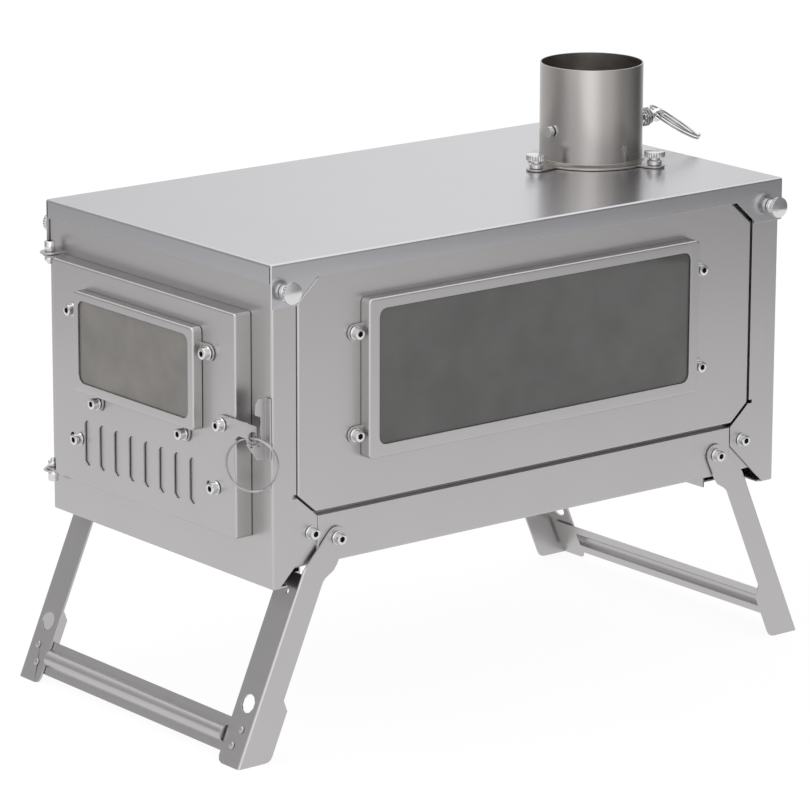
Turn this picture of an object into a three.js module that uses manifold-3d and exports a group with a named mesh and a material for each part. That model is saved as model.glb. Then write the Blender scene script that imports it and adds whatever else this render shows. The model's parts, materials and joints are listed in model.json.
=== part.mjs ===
// Folding tent wood stove: a sheet-metal firebox with a glazed door, one glazed side, a lid with a
// flue collar and damper, and two leg frames that fold under the tray.
// Millimetres, +Z up. The door faces -Y, the long window faces +X, and the feet stand on z = 0.
import * as THREE from "three";
import { mergeVertices } from "three/addons/utils/BufferGeometryUtils.js";
import Module from "manifold-3d";

const wasm = await Module();
wasm.setup();

// ---------- driving dimensions ----------
const GAP = 0.3; // between pieces that touch
const SHEET = 1.0; // body sheet
const BEND = 1.6; // outer radius of a folded edge
const ARC = 3; // steps of a rounded corner

const BODY_WIDTH = 206.4;
const BODY_LENGTH = 363.2;
const LID_TOP = 274.5;
const LID_FLANGE = 10.8;
const LID_EAR = 24.5; // depth of the lid's corner ears
const LID_EAR_CHAMFER = 13.6;
const PANEL_BOTTOM = 95.3;
const SIDE_SHIFT = -2; // the side pieces sit a little nearer the door

const STRIP_WIDTH = 18; // side flanges of the end panels
const STRIP_HALF = BODY_LENGTH / 2 - STRIP_WIDTH;
const STRIP_RETURN = 4;
const STRIP_FOOT = 144.4; // where the side flange widens into its gusset
const GUSSET_REACH = 32.1; // how far a gusset reaches along the side from the end
const GUSSET_HALF = BODY_LENGTH / 2 - GUSSET_REACH;
const GUSSET_CORNER = 121;
const GUSSET_TOE = BODY_LENGTH / 2 - 7.1;
const RETURN_HALF = BODY_LENGTH / 2 - 35.1; // rail along the inner edge of the end panels' bottom fold
const RAIL_BOTTOM = 92.4;

const TRAY_BOTTOM = 104.65;
const TRAY_TOP = 132;
const INSERT_GAP = 1.0; // shadow gap round the side panels
const INSERT_DEPTH = 5.3;
const INSERT_LIP = 4;
const INSERT_TUCK = 4.3; // how far a side panel reaches up behind the lid

const WINDOW_SHIFT = -3.6;
const WINDOW_LENGTH = 236.8;
const WINDOW_HEIGHT = 88.5;
const WINDOW_BASE = 159.6;
const WINDOW_RISE = 7.2;
const WINDOW_BORDER = 7;
const WINDOW_SCREW_OUT = 4.8;
const WINDOW_SCREW_SPACING = 56.5;
const CORNER = 4.5; // corner radius of the window openings
const GLASS = 3.5;
const GASKET = 2.0;

const DOOR_SIDE = 18.1; // from the door's edges to the body's sides
const DOOR_WIDTH = BODY_WIDTH - 2 * DOOR_SIDE;
const DOOR_BASE = 121.8;
const DOOR_HEIGHT = 123.9;
const DOOR_DEPTH = 10.6;
const DOORWAY_MARGIN = 9; // overlap of the door on its doorway
const DOOR_WINDOW_WIDTH = 112;
const DOOR_WINDOW_BASE = 176.5;
const DOOR_WINDOW_HEIGHT = 57;
const DOOR_WINDOW_RISE = 6.2;
const DOOR_WINDOW_BORDER = 4.6;
const DOOR_SIDE_SCREW_Z = 220.6;
const DOOR_LOW_SCREW_X = 40.6;
const HINGE_OUT = 9.4; // hinge axis to the door's edge
const HINGE_X = -DOOR_WIDTH / 2 - HINGE_OUT;
const HINGE_REACH = 5.8; // hinge axis to front panel face
const HINGE_LUG = 5.5;
const HINGE_PIN = 1.5;

const VENT_COUNT = 8;
const VENT_PITCH = 14.1;
const VENT_WIDTH = 6.4;
const VENT_HEIGHT = 25.5;
const VENT_MIDDLE_X = -3.2;
const VENT_BASE = 133.2;
const SLIDE_TRAVEL = 7; // from closed, as photographed, to open
const SLIDE_SCREWS_X = [-60, 68];
const SLIDE_SCREW_Z = 147;

const LATCH_INSET = 9.9; // latch screw to the door's free edge
const LATCH_X = DOOR_WIDTH / 2 - LATCH_INSET;
const LATCH_Z = 183.6;
const LATCH_REACH = 21.8; // pivot to the outer face of the tongue
const LATCH_HEIGHT = 11.7;
const LATCH_RING_RADIUS = 14.5;
const LATCH_RING_TURN = 34; // degrees between the ring's plane and the door's

const FLUE_X = -2.5;
const FLUE_Y = 130.2;
const FLUE_DIAMETER = 60;
const FLUE_WALL = 0.8;
const PIPE_SIDES = 40;
const FLUE_TOP = 57.2; // above the lid
const FLUE_EAR_REACH = 45.3; // pipe centre to an ear's screw
const FLUE_EAR_SPREAD = 2.1; // the front ear reaches this much further, the right one less
const FLUE_EARS = [ // degrees from +X, reach
  [-81.8, FLUE_EAR_REACH + FLUE_EAR_SPREAD],
  [17.8, FLUE_EAR_REACH - FLUE_EAR_SPREAD],
  [150, FLUE_EAR_REACH],
];
const FLUE_TUCK = 6; // how far the pipe reaches down through the lid
const FLUE_RING = 37;
const FLUE_ROLL = 2; // rolled bead round the foot of the pipe
const FLUE_EAR_RADIUS = 6;
const DAMPER_RISE = 19.6;
const DAMPER_TURN = 20; // degrees open, as photographed
const DAMPER_CLEARANCE = 1.5;
const AXLE = 4;
const AXLE_EYE_REACH = 50; // pipe centre to the eye
const SPRING_WIRE = 1.1;
const SPRING_DIAMETER = 11;
const SPRING_TURNS = 6;
const DAMPER_RING_RADIUS = 17;
const DAMPER_RING_DROP = 25; // degrees below level

const PIVOT_INSET = 44.25; // leg pivot to the body's end
const PIVOT_HALF = BODY_LENGTH / 2 - PIVOT_INSET;
const PIVOT_Z = 118;
const LEG_LEAN = 23.4;
const LEG_SHEET = 1.2;
const LEG_OUT = 14.7; // pivot to the leg's outer face
const LEG_WIDTH = 15.1;
const LEG_FLANGE = 19.6;
const LEG_HEAD = 6.4;
const LEG_FLANGE_TOP = 24.5; // from the pivot, along the leg
const FOOT_WIDTH = 19.8;
const FOOT_CORNER = 3.5;
const CROSSBAR_HEIGHT = 19.2;
const CROSSBAR_TOP = 109.6; // from the pivot, along the leg
const BEAD = 5;

const M4 = { shank: 2.0, head: 3.15, rise: 3.6, washer: 3.7, socket: 1.6 };
const WASHER = 0.8;
const THUMB = { shank: 2.5, neck: 3.6, groove: 3.2, head: 6 };

const TITANIUM = { color: 0xa9a8a7, roughness: 0.42, metalness: 0.9 };
const LID_TITANIUM = { color: 0xb8b8bb, roughness: 0.4, metalness: 0.9 };
const PIPE_STEEL = { color: 0x8f8c8a, roughness: 0.35, metalness: 1.0 };
const CHROME = { color: 0xd4d4d4, roughness: 0.15, metalness: 1.0 };
const DARK_GLASS = { color: 0x3c3e40, roughness: 0.1, metalness: 0.0, transparent: true, opacity: 0.6 };
const FIBRE = { color: 0x4a4844, roughness: 0.9, metalness: 0.0 };
const GRATE_STEEL = { color: 0x77736e, roughness: 0.5, metalness: 0.9 };

// ---------- derived places ----------
const SIDE_X = BODY_WIDTH / 2;
const FRONT_Y = -BODY_LENGTH / 2;
const LID_HALF_X = SIDE_X + GAP + SHEET;
const LID_HALF_Y = BODY_LENGTH / 2 + GAP + SHEET;
const PANEL_TOP = LID_TOP - SHEET - GAP;
const FLANGE_BOTTOM = LID_TOP - LID_FLANGE;
const EAR_BOTTOM = LID_TOP - LID_EAR;
const DOOR_FACE = FRONT_Y - GAP - DOOR_DEPTH;
const HINGE_Y = FRONT_Y - HINGE_REACH;
const MIDDLE_WINDOW_Z = WINDOW_BASE + WINDOW_HEIGHT / 2;
const FRAME_X = SIDE_X + GAP;
const LEG_X = SIDE_X + GAP + 0.1;
const rad = THREE.MathUtils.degToRad;

// ---------- solids ----------
const group = new THREE.Group();

function solid(geometry) {
  geometry.deleteAttribute("normal");
  geometry.deleteAttribute("uv");
  const merged = mergeVertices(geometry, 1e-5);
  const index = Array.from(merged.index.array);
  const triangles = [];
  for (let i = 0; i < index.length; i += 3) {
    const [a, b, c] = index.slice(i, i + 3);
    if (a !== b && b !== c && c !== a) triangles.push(a, b, c);
  }
  const vertProperties = new Float32Array(merged.attributes.position.array);
  const triVerts = new Uint32Array(triangles);
  return new wasm.Manifold(new wasm.Mesh({ numProp: 3, vertProperties, triVerts }));
}

function addPiece(name, body, look) {
  const mesh = body.getMesh();
  const geometry = new THREE.BufferGeometry();
  geometry.setAttribute("position", new THREE.BufferAttribute(mesh.vertProperties, 3));
  geometry.setIndex(new THREE.BufferAttribute(mesh.triVerts, 1));
  geometry.computeVertexNormals();
  const piece = new THREE.Mesh(geometry, new THREE.MeshStandardMaterial(look));
  piece.name = name;
  group.add(piece);
}

function box(x0, x1, y0, y1, z0, z1) {
  const geometry = new THREE.BoxGeometry(x1 - x0, y1 - y0, z1 - z0);
  return solid(geometry.translate((x0 + x1) / 2, (y0 + y1) / 2, (z0 + z1) / 2));
}

function polygon(points) {
  return new THREE.Shape(points.map(([u, v]) => new THREE.Vector2(u, v)));
}

function rect(u0, u1, v0, v1) {
  return [[u0, v0], [u1, v0], [u1, v1], [u0, v1]];
}

// The corners of a counter-clockwise polygon, each replaced by an arc of ARC steps.
function roundCorners(points, radius) {
  const count = points.length;
  return points.flatMap((corner, i) => {
    const before = points[(i + count - 1) % count];
    const after = points[(i + 1) % count];
    const from = Math.atan2(corner[1] - before[1], corner[0] - before[0]);
    let turn = Math.atan2(after[1] - corner[1], after[0] - corner[0]) - from;
    if (turn < -Math.PI) turn += 2 * Math.PI;
    if (turn > Math.PI) turn -= 2 * Math.PI;
    const cut = radius * Math.tan(Math.abs(turn) / 2);
    const reach = turn < 0 ? -radius : radius;
    const u = corner[0] - cut * Math.cos(from) - reach * Math.sin(from);
    const v = corner[1] - cut * Math.sin(from) + reach * Math.cos(from);
    return Array.from({ length: ARC + 1 }, (_, k) => {
      const angle = from + (turn * k) / ARC;
      return [u + reach * Math.sin(angle), v - reach * Math.cos(angle)];
    });
  });
}

// A slot with its narrow ends cut to a blunt round.
function slotShape(u0, u1, v0, v1) {
  const cut = 0.3 * Math.min(u1 - u0, v1 - v0);
  return polygon([
    [u0 + cut, v0], [u1 - cut, v0], [u1, v0 + cut], [u1, v1 - cut],
    [u1 - cut, v1], [u0 + cut, v1], [u0, v1 - cut], [u0, v0 + cut],
  ]);
}

function roundedRect(u0, u1, v0, v1, radius) {
  return polygon(roundCorners(rect(u0, u1, v0, v1), radius));
}

// A frame turns a drawing (u, v) and its height into the object's axes.
const FACING = {
  up: (at) => new THREE.Matrix4().makeTranslation(0, 0, at),
  down: (at) => new THREE.Matrix4().set(1, 0, 0, 0, 0, -1, 0, 0, 0, 0, -1, at, 0, 0, 0, 1),
  right: (at) => new THREE.Matrix4().set(0, 0, 1, at, 1, 0, 0, 0, 0, 1, 0, 0, 0, 0, 0, 1),
  left: (at) => new THREE.Matrix4().set(0, 0, -1, at, -1, 0, 0, 0, 0, 1, 0, 0, 0, 0, 0, 1),
  front: (at) => new THREE.Matrix4().set(1, 0, 0, 0, 0, 0, -1, at, 0, 1, 0, 0, 0, 0, 0, 1),
  back: (at) => new THREE.Matrix4().set(-1, 0, 0, 0, 0, 0, 1, at, 0, 1, 0, 0, 0, 0, 0, 1),
};

// A flat plate whose face looks along `facing` from the plane `at`, `thickness` deep behind it.
function plate(shape, facing, at, thickness) {
  const geometry = new THREE.ExtrudeGeometry(shape, {
    depth: thickness,
    bevelEnabled: false,
    curveSegments: ARC,
  });
  return solid(geometry.translate(0, 0, -thickness).applyMatrix4(FACING[facing](at)));
}

// The block that a press leaves: the outline, `depth` high, with its top edge rounded by `bend`.
function block(points, radius, depth, bend, inset) {
  const levels = [[-depth, inset]];
  for (let k = 0; k <= ARC; k += 1) {
    const angle = (k / ARC) * (Math.PI / 2);
    levels.push([bend * (Math.sin(angle) - 1), inset + bend * (1 - Math.cos(angle))]);
  }
  const rings = levels.map(([height, margin]) => {
    const ring = insetPolygon(points, points.map(() => margin));
    return roundCorners(ring, Math.max(radius - margin, 0.2)).map(([u, v]) => [u, v, height]);
  });
  const count = rings[0].length;
  const indices = [];
  for (let i = 0; i + 1 < rings.length; i += 1) {
    for (let k = 0; k < count; k += 1) {
      const a = i * count + k;
      const b = i * count + ((k + 1) % count);
      indices.push(a, b, b + count, a, b + count, a + count);
    }
  }
  const top = (rings.length - 1) * count;
  const cap = (ring) => THREE.ShapeUtils.triangulateShape(ring.map(([u, v]) => new THREE.Vector2(u, v)), []);
  for (const [a, b, c] of cap(rings[0])) indices.push(a, c, b);
  for (const [a, b, c] of cap(rings[rings.length - 1])) indices.push(top + a, top + b, top + c);
  const geometry = new THREE.BufferGeometry();
  geometry.setAttribute("position", new THREE.Float32BufferAttribute(rings.flat(2), 3));
  geometry.setIndex(indices);
  return solid(geometry);
}

// A sheet pressed or folded into a shallow pan, its face on the plane `at` and its rim behind it.
function pan(points, radius, facing, at, depth, bend = BEND) {
  const outer = block(points, radius, depth, bend, 0);
  const inner = block(points, radius, depth + 1, Math.max(bend - SHEET, 0.2), SHEET);
  return outer.subtract(inner.translate(0, 0, -SHEET)).transform(FACING[facing](at).toArray());
}

// A turned piece: the profile [radius, height] stands along `facing` from (x, y, z).
function turned(profile, facing, x, y, z, sides = 10) {
  const points = profile.map(([r, h]) => new THREE.Vector2(r, h));
  if (profile[0][1] > profile[profile.length - 1][1]) points.reverse();
  const geometry = new THREE.LatheGeometry(points, sides);
  geometry.rotateX(Math.PI / 2).applyMatrix4(FACING[facing](0)).translate(x, y, z);
  return solid(geometry);
}

// A helix: `radius` about `centre`, round `axis`, starting towards `from`; `turns` loops, `pitch`
// apart, each with `steps` steps of a wire with `sides` sides.
function coil({ centre, axis, from, radius, pitch, turns, wire, steps, sides }) {
  const along = axis.clone().normalize();
  const first = from.clone().addScaledVector(along, -from.dot(along)).normalize();
  const second = new THREE.Vector3().crossVectors(along, first);
  const point = (angle) =>
    centre
      .clone()
      .addScaledVector(along, pitch * (angle / (2 * Math.PI) - turns / 2))
      .addScaledVector(first, radius * Math.cos(angle))
      .addScaledVector(second, radius * Math.sin(angle));
  const rings = Math.round(turns * steps);
  const positions = [];
  const indices = [];
  for (let i = 0; i <= rings; i += 1) {
    const angle = (2 * Math.PI * turns * i) / rings;
    const middle = point(angle);
    const out = new THREE.Vector3()
      .addScaledVector(first, Math.cos(angle))
      .addScaledVector(second, Math.sin(angle));
    for (let k = 0; k < sides; k += 1) {
      const turn = (2 * Math.PI * k) / sides;
      const p = middle
        .clone()
        .addScaledVector(out, (wire / 2) * Math.cos(turn))
        .addScaledVector(along, (wire / 2) * Math.sin(turn));
      positions.push(p.x, p.y, p.z);
    }
  }
  for (let i = 0; i < rings; i += 1) {
    for (let k = 0; k < sides; k += 1) {
      const a = i * sides + k;
      const b = i * sides + ((k + 1) % sides);
      indices.push(a, b + sides, b, a, a + sides, b + sides);
    }
  }
  for (let k = 1; k < sides - 1; k += 1) {
    const last = rings * sides;
    indices.push(0, k, k + 1, last, last + k + 1, last + k);
  }
  const geometry = new THREE.BufferGeometry();
  geometry.setAttribute("position", new THREE.Float32BufferAttribute(positions, 3));
  geometry.setIndex(indices);
  reportGap(point, turns, wire);
  const body = solid(geometry);
  return body;
}

// The least gap between one turn and the next, measured on points of the wire's middle line.
function reportGap(point, turns, wire) {
  let least = Infinity;
  const perTurn = 96;
  for (let i = 0; i <= (turns - 1) * perTurn; i += 1) {
    for (let k = -8; k <= 8; k += 1) {
      const here = point((2 * Math.PI * i) / perTurn);
      const next = point((2 * Math.PI * (i + perTurn + k)) / perTurn);
      least = Math.min(least, here.distanceTo(next) - wire);
    }
  }
  console.log(`least gap between turns: ${least.toFixed(2)} mm`);
}

// Moves every side of a polygon inwards by its own margin (outwards where it is negative).
function insetPolygon(points, margins) {
  const lines = points.map(([u, v], i) => {
    const [u2, v2] = points[(i + 1) % points.length];
    const length = Math.hypot(u2 - u, v2 - v);
    const normal = [-(v2 - v) / length, (u2 - u) / length];
    return [...normal, normal[0] * u + normal[1] * v + margins[i]];
  });
  return lines.map(([a, b, c], i) => {
    const [d, e, f] = lines[(i + lines.length - 1) % lines.length];
    const det = a * e - b * d;
    return [(c * e - b * f) / det, (a * f - c * d) / det];
  });
}

// Socket-head screw with washer, its washer seated on (x, y, z); `grip` reaches back from there.
function socketScrew(name, facing, x, y, z, grip, nut = 0) {
  const { shank, head, rise, washer, socket } = M4;
  const top = WASHER + rise;
  const foot = nut > 0 ? [[head, -nut], [head, -grip], [0, -grip]] : [[shank, -grip], [0, -grip]];
  const stem = nut > 0 ? [[shank, -nut]] : [];
  const profile = [[0, top], [head - 0.4, top], [head, top - 0.4], [head, WASHER]];
  profile.push([washer, WASHER], [washer, 0], [shank, 0], ...stem, ...foot);
  const screw = turned(profile, facing, x, y, z);
  const key = new THREE.CylinderGeometry(socket, socket, rise, 6);
  key.rotateX(Math.PI / 2).translate(0, 0, top).applyMatrix4(FACING[facing](0)).translate(x, y, z);
  addPiece(name, screw.subtract(solid(key)), CHROME);
}

// Thumbscrew: a neck, a groove and a flat round head.
function thumbScrew(name, facing, x, y, z, neck, thickness, grip) {
  const { shank, groove, head } = THUMB;
  const profile = [[0, neck + thickness], [head - 0.5, neck + thickness]];
  profile.push([head, neck + thickness - 0.5], [head, neck], [groove, neck], [groove, neck * 0.62]);
  profile.push([THUMB.neck + 0.6, neck * 0.55], [THUMB.neck + 0.6, 0], [shank, 0], [shank, -grip]);
  profile.push([0, -grip]);
  addPiece(name, turned(profile, facing, x, y, z), CHROME);
}

function hole(facing, x, y, z, radius, reach = 8) {
  return turned([[0, reach], [radius, reach], [radius, -reach], [0, -reach]], facing, x, y, z);
}

// ---------- lid ----------
const GUSSET_SCREW = { y: BODY_LENGTH / 2 - 25.6, z: 123.5 };
const LID_SCREW = { y: BODY_LENGTH / 2 - 7.6, z: 259 };

function makeLid() {
  const outline = rect(-LID_HALF_X, LID_HALF_X, -LID_HALF_Y, LID_HALF_Y);
  let lid = pan(outline, 0.8, "up", LID_TOP, LID_EAR);
  const below = [
    [-STRIP_HALF, EAR_BOTTOM - 1],
    [STRIP_HALF, EAR_BOTTOM - 1],
    [STRIP_HALF, EAR_BOTTOM + 1.5],
    [STRIP_HALF - LID_EAR_CHAMFER, FLANGE_BOTTOM],
    [-STRIP_HALF + LID_EAR_CHAMFER, FLANGE_BOTTOM],
    [-STRIP_HALF, EAR_BOTTOM + 1.5],
  ].map(([u, v]) => [u + SIDE_SHIFT, v]);
  lid = lid.subtract(plate(polygon(below), "right", LID_HALF_X + 1, 2 * LID_HALF_X + 2));
  const slit = SIDE_X - 0.2;
  lid = lid.subtract(box(-slit, slit, -LID_HALF_Y - 1, LID_HALF_Y + 1, EAR_BOTTOM - 1, FLANGE_BOTTOM));
  for (const end of [-1, 1]) {
    const inner = end * (LID_HALF_Y - SHEET - 0.1);
    const outer = end * (LID_HALF_Y + 1);
    const [y0, y1] = [Math.min(inner, outer), Math.max(inner, outer)];
    for (const side of [-1, 1]) {
      const x = side * (SIDE_X - 0.1);
      lid = lid.subtract(box(x - 0.4, x + 0.4, y0, y1, EAR_BOTTOM - 1, LID_TOP - BEND));
      const cornerX = side * (LID_HALF_X + 0.3);
      const [x0, x1] = [Math.min(x, cornerX), Math.max(x, cornerX)];
      lid = lid.subtract(box(x0, x1, y0, y1, EAR_BOTTOM - 1, EAR_BOTTOM + 0.1));
      lid = lid.subtract(hole("right", side * LID_HALF_X, end * LID_SCREW.y, LID_SCREW.z, THUMB.shank + GAP));
    }
  }
  const bore = FLUE_DIAMETER / 2 + GAP;
  const cut = [[0, LID_TOP - 5], [bore, LID_TOP - 5], [bore, LID_TOP + 5], [0, LID_TOP + 5]];
  lid = lid.subtract(turned(cut, "up", FLUE_X, FLUE_Y, 0, PIPE_SIDES));
  for (const [angle, reach] of FLUE_EARS) {
    const [x, y] = flueScrewAt(angle, reach);
    lid = lid.subtract(hole("up", x, y, LID_TOP, THUMB.shank + GAP));
  }
  addPiece("lid", lid, LID_TITANIUM);
}

function flueScrewAt(angle, reach) {
  const turn = rad(angle);
  return [FLUE_X + reach * Math.cos(turn), FLUE_Y + reach * Math.sin(turn)];
}

// ---------- end panels ----------
function makeEndPanel(end) {
  const front = end < 0;
  const shift = SIDE_SHIFT * end; // how much further out the side pieces reach at this end
  const strip = STRIP_HALF + shift;
  const gusset = GUSSET_HALF + shift;
  const toe = GUSSET_TOE + shift;
  const lip = RETURN_HALF + shift;
  const half = BODY_LENGTH / 2;
  const depth = half - lip;
  const outline = rect(-SIDE_X, SIDE_X, PANEL_BOTTOM, PANEL_TOP + 9);
  let panel = pan(outline, 0.8, "back", half, depth);
  panel = panel.subtract(box(-SIDE_X - 1, SIDE_X + 1, 0, half + 1, PANEL_TOP, PANEL_TOP + 12));
  const inside = [
    [0, PANEL_TOP + 1],
    [0, GUSSET_CORNER - 30],
    [toe, GUSSET_CORNER - 30],
    [toe, PANEL_BOTTOM + SHEET],
    [gusset, GUSSET_CORNER],
    [gusset, STRIP_FOOT - 12.3],
    [strip, STRIP_FOOT],
    [strip, PANEL_TOP + 1],
  ];
  const sides = plate(polygon(inside), "right", SIDE_X + 1, SIDE_X * 2 + 2);
  const keep = box(-SIDE_X + SHEET + 0.4, SIDE_X - SHEET - 0.4, 0, half + 1, 0, TRAY_BOTTOM);
  panel = panel.subtract(sides.subtract(keep));
  const wide = LEG_X + LEG_SHEET - LEG_FLANGE - 1.2; // clear of the legs' flanges as they fold
  panel = panel.add(box(-wide, wide, lip, lip + SHEET, RAIL_BOTTOM, TRAY_BOTTOM - GAP));
  const notch = half - 11;
  for (const side of [-1, 1]) {
    const cut = [side * wide, side * (SIDE_X + 1)].sort((a, b) => a - b);
    panel = panel.subtract(box(...cut, lip - 1, notch, RAIL_BOTTOM - 1, PANEL_BOTTOM + BEND));
    const xs = [side * (SIDE_X - STRIP_RETURN), side * SIDE_X].sort((a, b) => a - b);
    const top = EAR_BOTTOM + 1;
    panel = panel.add(box(xs[0], xs[1], strip, strip + SHEET, STRIP_FOOT + 2, top));
    panel = panel.subtract(
      box(xs[0] - 1, xs[1] + 1, strip - 1, strip + SHEET + 1.4, STRIP_FOOT - 0.4, STRIP_FOOT + 1.6),
    );
    const screwX = side * SIDE_X;
    panel = panel.subtract(hole("right", screwX, LID_SCREW.y, LID_SCREW.z, THUMB.shank + GAP));
    panel = panel.subtract(hole("right", screwX, GUSSET_SCREW.y, GUSSET_SCREW.z, M4.shank + GAP));
  }
  if (front) {
    panel = panel.mirror([0, 1, 0]);
    panel = cutDoorway(panel);
  }
  addPiece(front ? "front_panel" : "rear_panel", panel, TITANIUM);
}

const DOORWAY = {
  x: DOOR_WIDTH / 2 - DOORWAY_MARGIN,
  z0: DOOR_BASE + DOORWAY_MARGIN,
  z1: DOOR_BASE + DOOR_HEIGHT - DOORWAY_MARGIN,
};

function cutDoorway(panel) {
  const opening = roundedRect(-DOORWAY.x, DOORWAY.x, DOORWAY.z0, DOORWAY.z1, 4);
  let cut = panel.subtract(plate(opening, "front", FRONT_Y - 1, SHEET + 2));
  for (const [z0, z1] of hingeLugs()) {
    const lug = new THREE.Shape();
    lug.moveTo(HINGE_X + HINGE_LUG, FRONT_Y + SHEET / 2);
    lug.lineTo(HINGE_X - HINGE_LUG, FRONT_Y + SHEET / 2);
    lug.lineTo(HINGE_X - HINGE_LUG, HINGE_Y);
    lug.absarc(HINGE_X, HINGE_Y, HINGE_LUG, Math.PI, 2 * Math.PI);
    cut = cut.add(plate(lug, "up", z1, z1 - z0));
    cut = cut.subtract(hole("up", HINGE_X, HINGE_Y, z0, HINGE_PIN + GAP, 4));
  }
  return cut;
}

function hingeLugs() {
  const top = DOOR_BASE + DOOR_HEIGHT + GAP;
  const bottom = DOOR_BASE - GAP;
  return [[top, top + SHEET], [bottom - SHEET, bottom]];
}

// ---------- tray and grate ----------
const LEG_PIVOTS = [-PIVOT_HALF + SIDE_SHIFT, PIVOT_HALF + SIDE_SHIFT];

function makeTray() {
  const depth = TRAY_TOP - TRAY_BOTTOM;
  const wallHalf = GUSSET_HALF - GAP;
  const wide = [SIDE_X, -wallHalf + SIDE_SHIFT, wallHalf + SIDE_SHIFT];
  const long = [SIDE_X - SHEET - GAP, FRONT_Y + SHEET + GAP, -FRONT_Y - SHEET - GAP];
  const blocks = [wide, long].map(([x, y0, y1]) => {
    const outline = rect(-x, x, -y1, -y0);
    const outer = block(outline, 0.8, depth, BEND, 0);
    const inner = block(outline, 0.8, depth + 1, BEND - SHEET, SHEET).translate(0, 0, -SHEET);
    return { outer, inner };
  });
  const outer = blocks[0].outer.add(blocks[1].outer);
  const inner = blocks[0].inner.add(blocks[1].inner);
  let tray = outer.subtract(inner).transform(FACING.down(TRAY_BOTTOM).toArray());
  const lipHalf = wallHalf - SHEET;
  for (const side of [-1, 1]) {
    const xs = [side * (SIDE_X - STRIP_RETURN), side * (SIDE_X - 0.2)].sort((a, b) => a - b);
    const lip = [xs[0], xs[1], -lipHalf + SIDE_SHIFT, lipHalf + SIDE_SHIFT];
    tray = tray.add(box(...lip, TRAY_TOP - SHEET, TRAY_TOP));
    for (const y of LEG_PIVOTS) {
      tray = tray.subtract(hole("right", side * SIDE_X, y, PIVOT_Z, M4.shank + GAP, 5));
    }
    for (const end of [-1, 1]) {
      const y = end * GUSSET_SCREW.y;
      tray = tray.subtract(hole("right", side * SIDE_X, y, GUSSET_SCREW.z, M4.shank + GAP, 5));
    }
  }
  addPiece("bottom_tray", tray, TITANIUM);
}

const GRATE = { halfX: 84, halfY: 150, top: 122, sheet: 1.5, slots: 9, pitch: 30, slotWidth: 6 };

function makeGrate() {
  const { halfX, halfY, top, sheet, slots, pitch, slotWidth } = GRATE;
  const foot = TRAY_BOTTOM + SHEET + GAP;
  let grate = box(-halfX, halfX, -halfY, halfY, top - sheet, top);
  for (const end of [-1, 1]) {
    const ys = [end * (halfY - sheet), end * halfY].sort((a, b) => a - b);
    grate = grate.add(box(-halfX, halfX, ...ys, foot, top));
  }
  for (let i = 0; i < slots; i += 1) {
    const y = (i - (slots - 1) / 2) * pitch;
    for (const side of [-1, 1]) {
      const us = [side * 8, side * (halfX - 10)].sort((a, b) => a - b);
      const slot = polygon(rect(us[0], us[1], y - slotWidth / 2, y + slotWidth / 2));
      grate = grate.subtract(plate(slot, "up", top + 1, sheet + 2));
    }
  }
  addPiece("fire_grate", grate, GRATE_STEEL);
}

// ---------- side panels and window ----------
function sideAperture() {
  const right = [
    [GUSSET_HALF, TRAY_TOP],
    [STRIP_HALF, STRIP_FOOT],
    [STRIP_HALF, EAR_BOTTOM + 1.5],
    [STRIP_HALF - LID_EAR_CHAMFER, FLANGE_BOTTOM],
  ];
  const left = right.map(([u, v]) => [-u, v]).reverse();
  return [...right, ...left].map(([u, v]) => [u + SIDE_SHIFT, v]);
}

function makeSidePanel(side) {
  const aperture = sideAperture();
  const margins = [INSERT_GAP, INSERT_GAP, INSERT_GAP, -INSERT_TUCK, INSERT_GAP, INSERT_GAP, INSERT_GAP, 2];
  const face = insetPolygon(aperture, margins);
  const lipMargins = margins.map((margin, i) => (i === 3 ? margin + 2 : margin - INSERT_LIP));
  const lipOutline = insetPolygon(aperture, lipMargins);
  let panel = pan(face, 1.5, "right", SIDE_X, INSERT_DEPTH);
  const lipFace = SIDE_X - INSERT_DEPTH + SHEET;
  const hollow = insetPolygon(aperture, margins.map((margin) => margin + SHEET));
  const lip = plate(polygon(lipOutline), "right", lipFace, SHEET);
  panel = panel.add(lip.subtract(plate(polygon(hollow), "right", lipFace + 1, SHEET + 2)));
  if (side > 0) {
    panel = panel.subtract(plate(windowOpening(3), "right", SIDE_X + 1, SHEET + 2));
    for (const [y, z] of windowScrews()) {
      panel = panel.subtract(hole("right", SIDE_X, y, z, M4.shank + GAP, 4));
    }
  } else {
    panel = panel.mirror([1, 0, 0]);
  }
  addPiece(side > 0 ? "side_panel_right" : "side_panel_left", panel, TITANIUM);
}

function windowOpening(grow) {
  const halfLength = WINDOW_LENGTH / 2 - WINDOW_BORDER - grow;
  const y0 = WINDOW_SHIFT - halfLength;
  const y1 = WINDOW_SHIFT + halfLength;
  const z0 = WINDOW_BASE + WINDOW_BORDER + grow;
  const z1 = WINDOW_BASE + WINDOW_HEIGHT - WINDOW_BORDER + 1 - grow;
  return roundedRect(y0, y1, z0, z1, CORNER);
}

function windowScrews() {
  const reach = WINDOW_LENGTH / 2 + WINDOW_SCREW_OUT;
  const places = [];
  for (const end of [-1, 1]) {
    for (const level of [-1, 1]) {
      const z = MIDDLE_WINDOW_Z - 2.5 + (level * WINDOW_SCREW_SPACING) / 2;
      places.push([WINDOW_SHIFT + end * reach, z, end]);
    }
  }
  return places;
}

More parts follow.
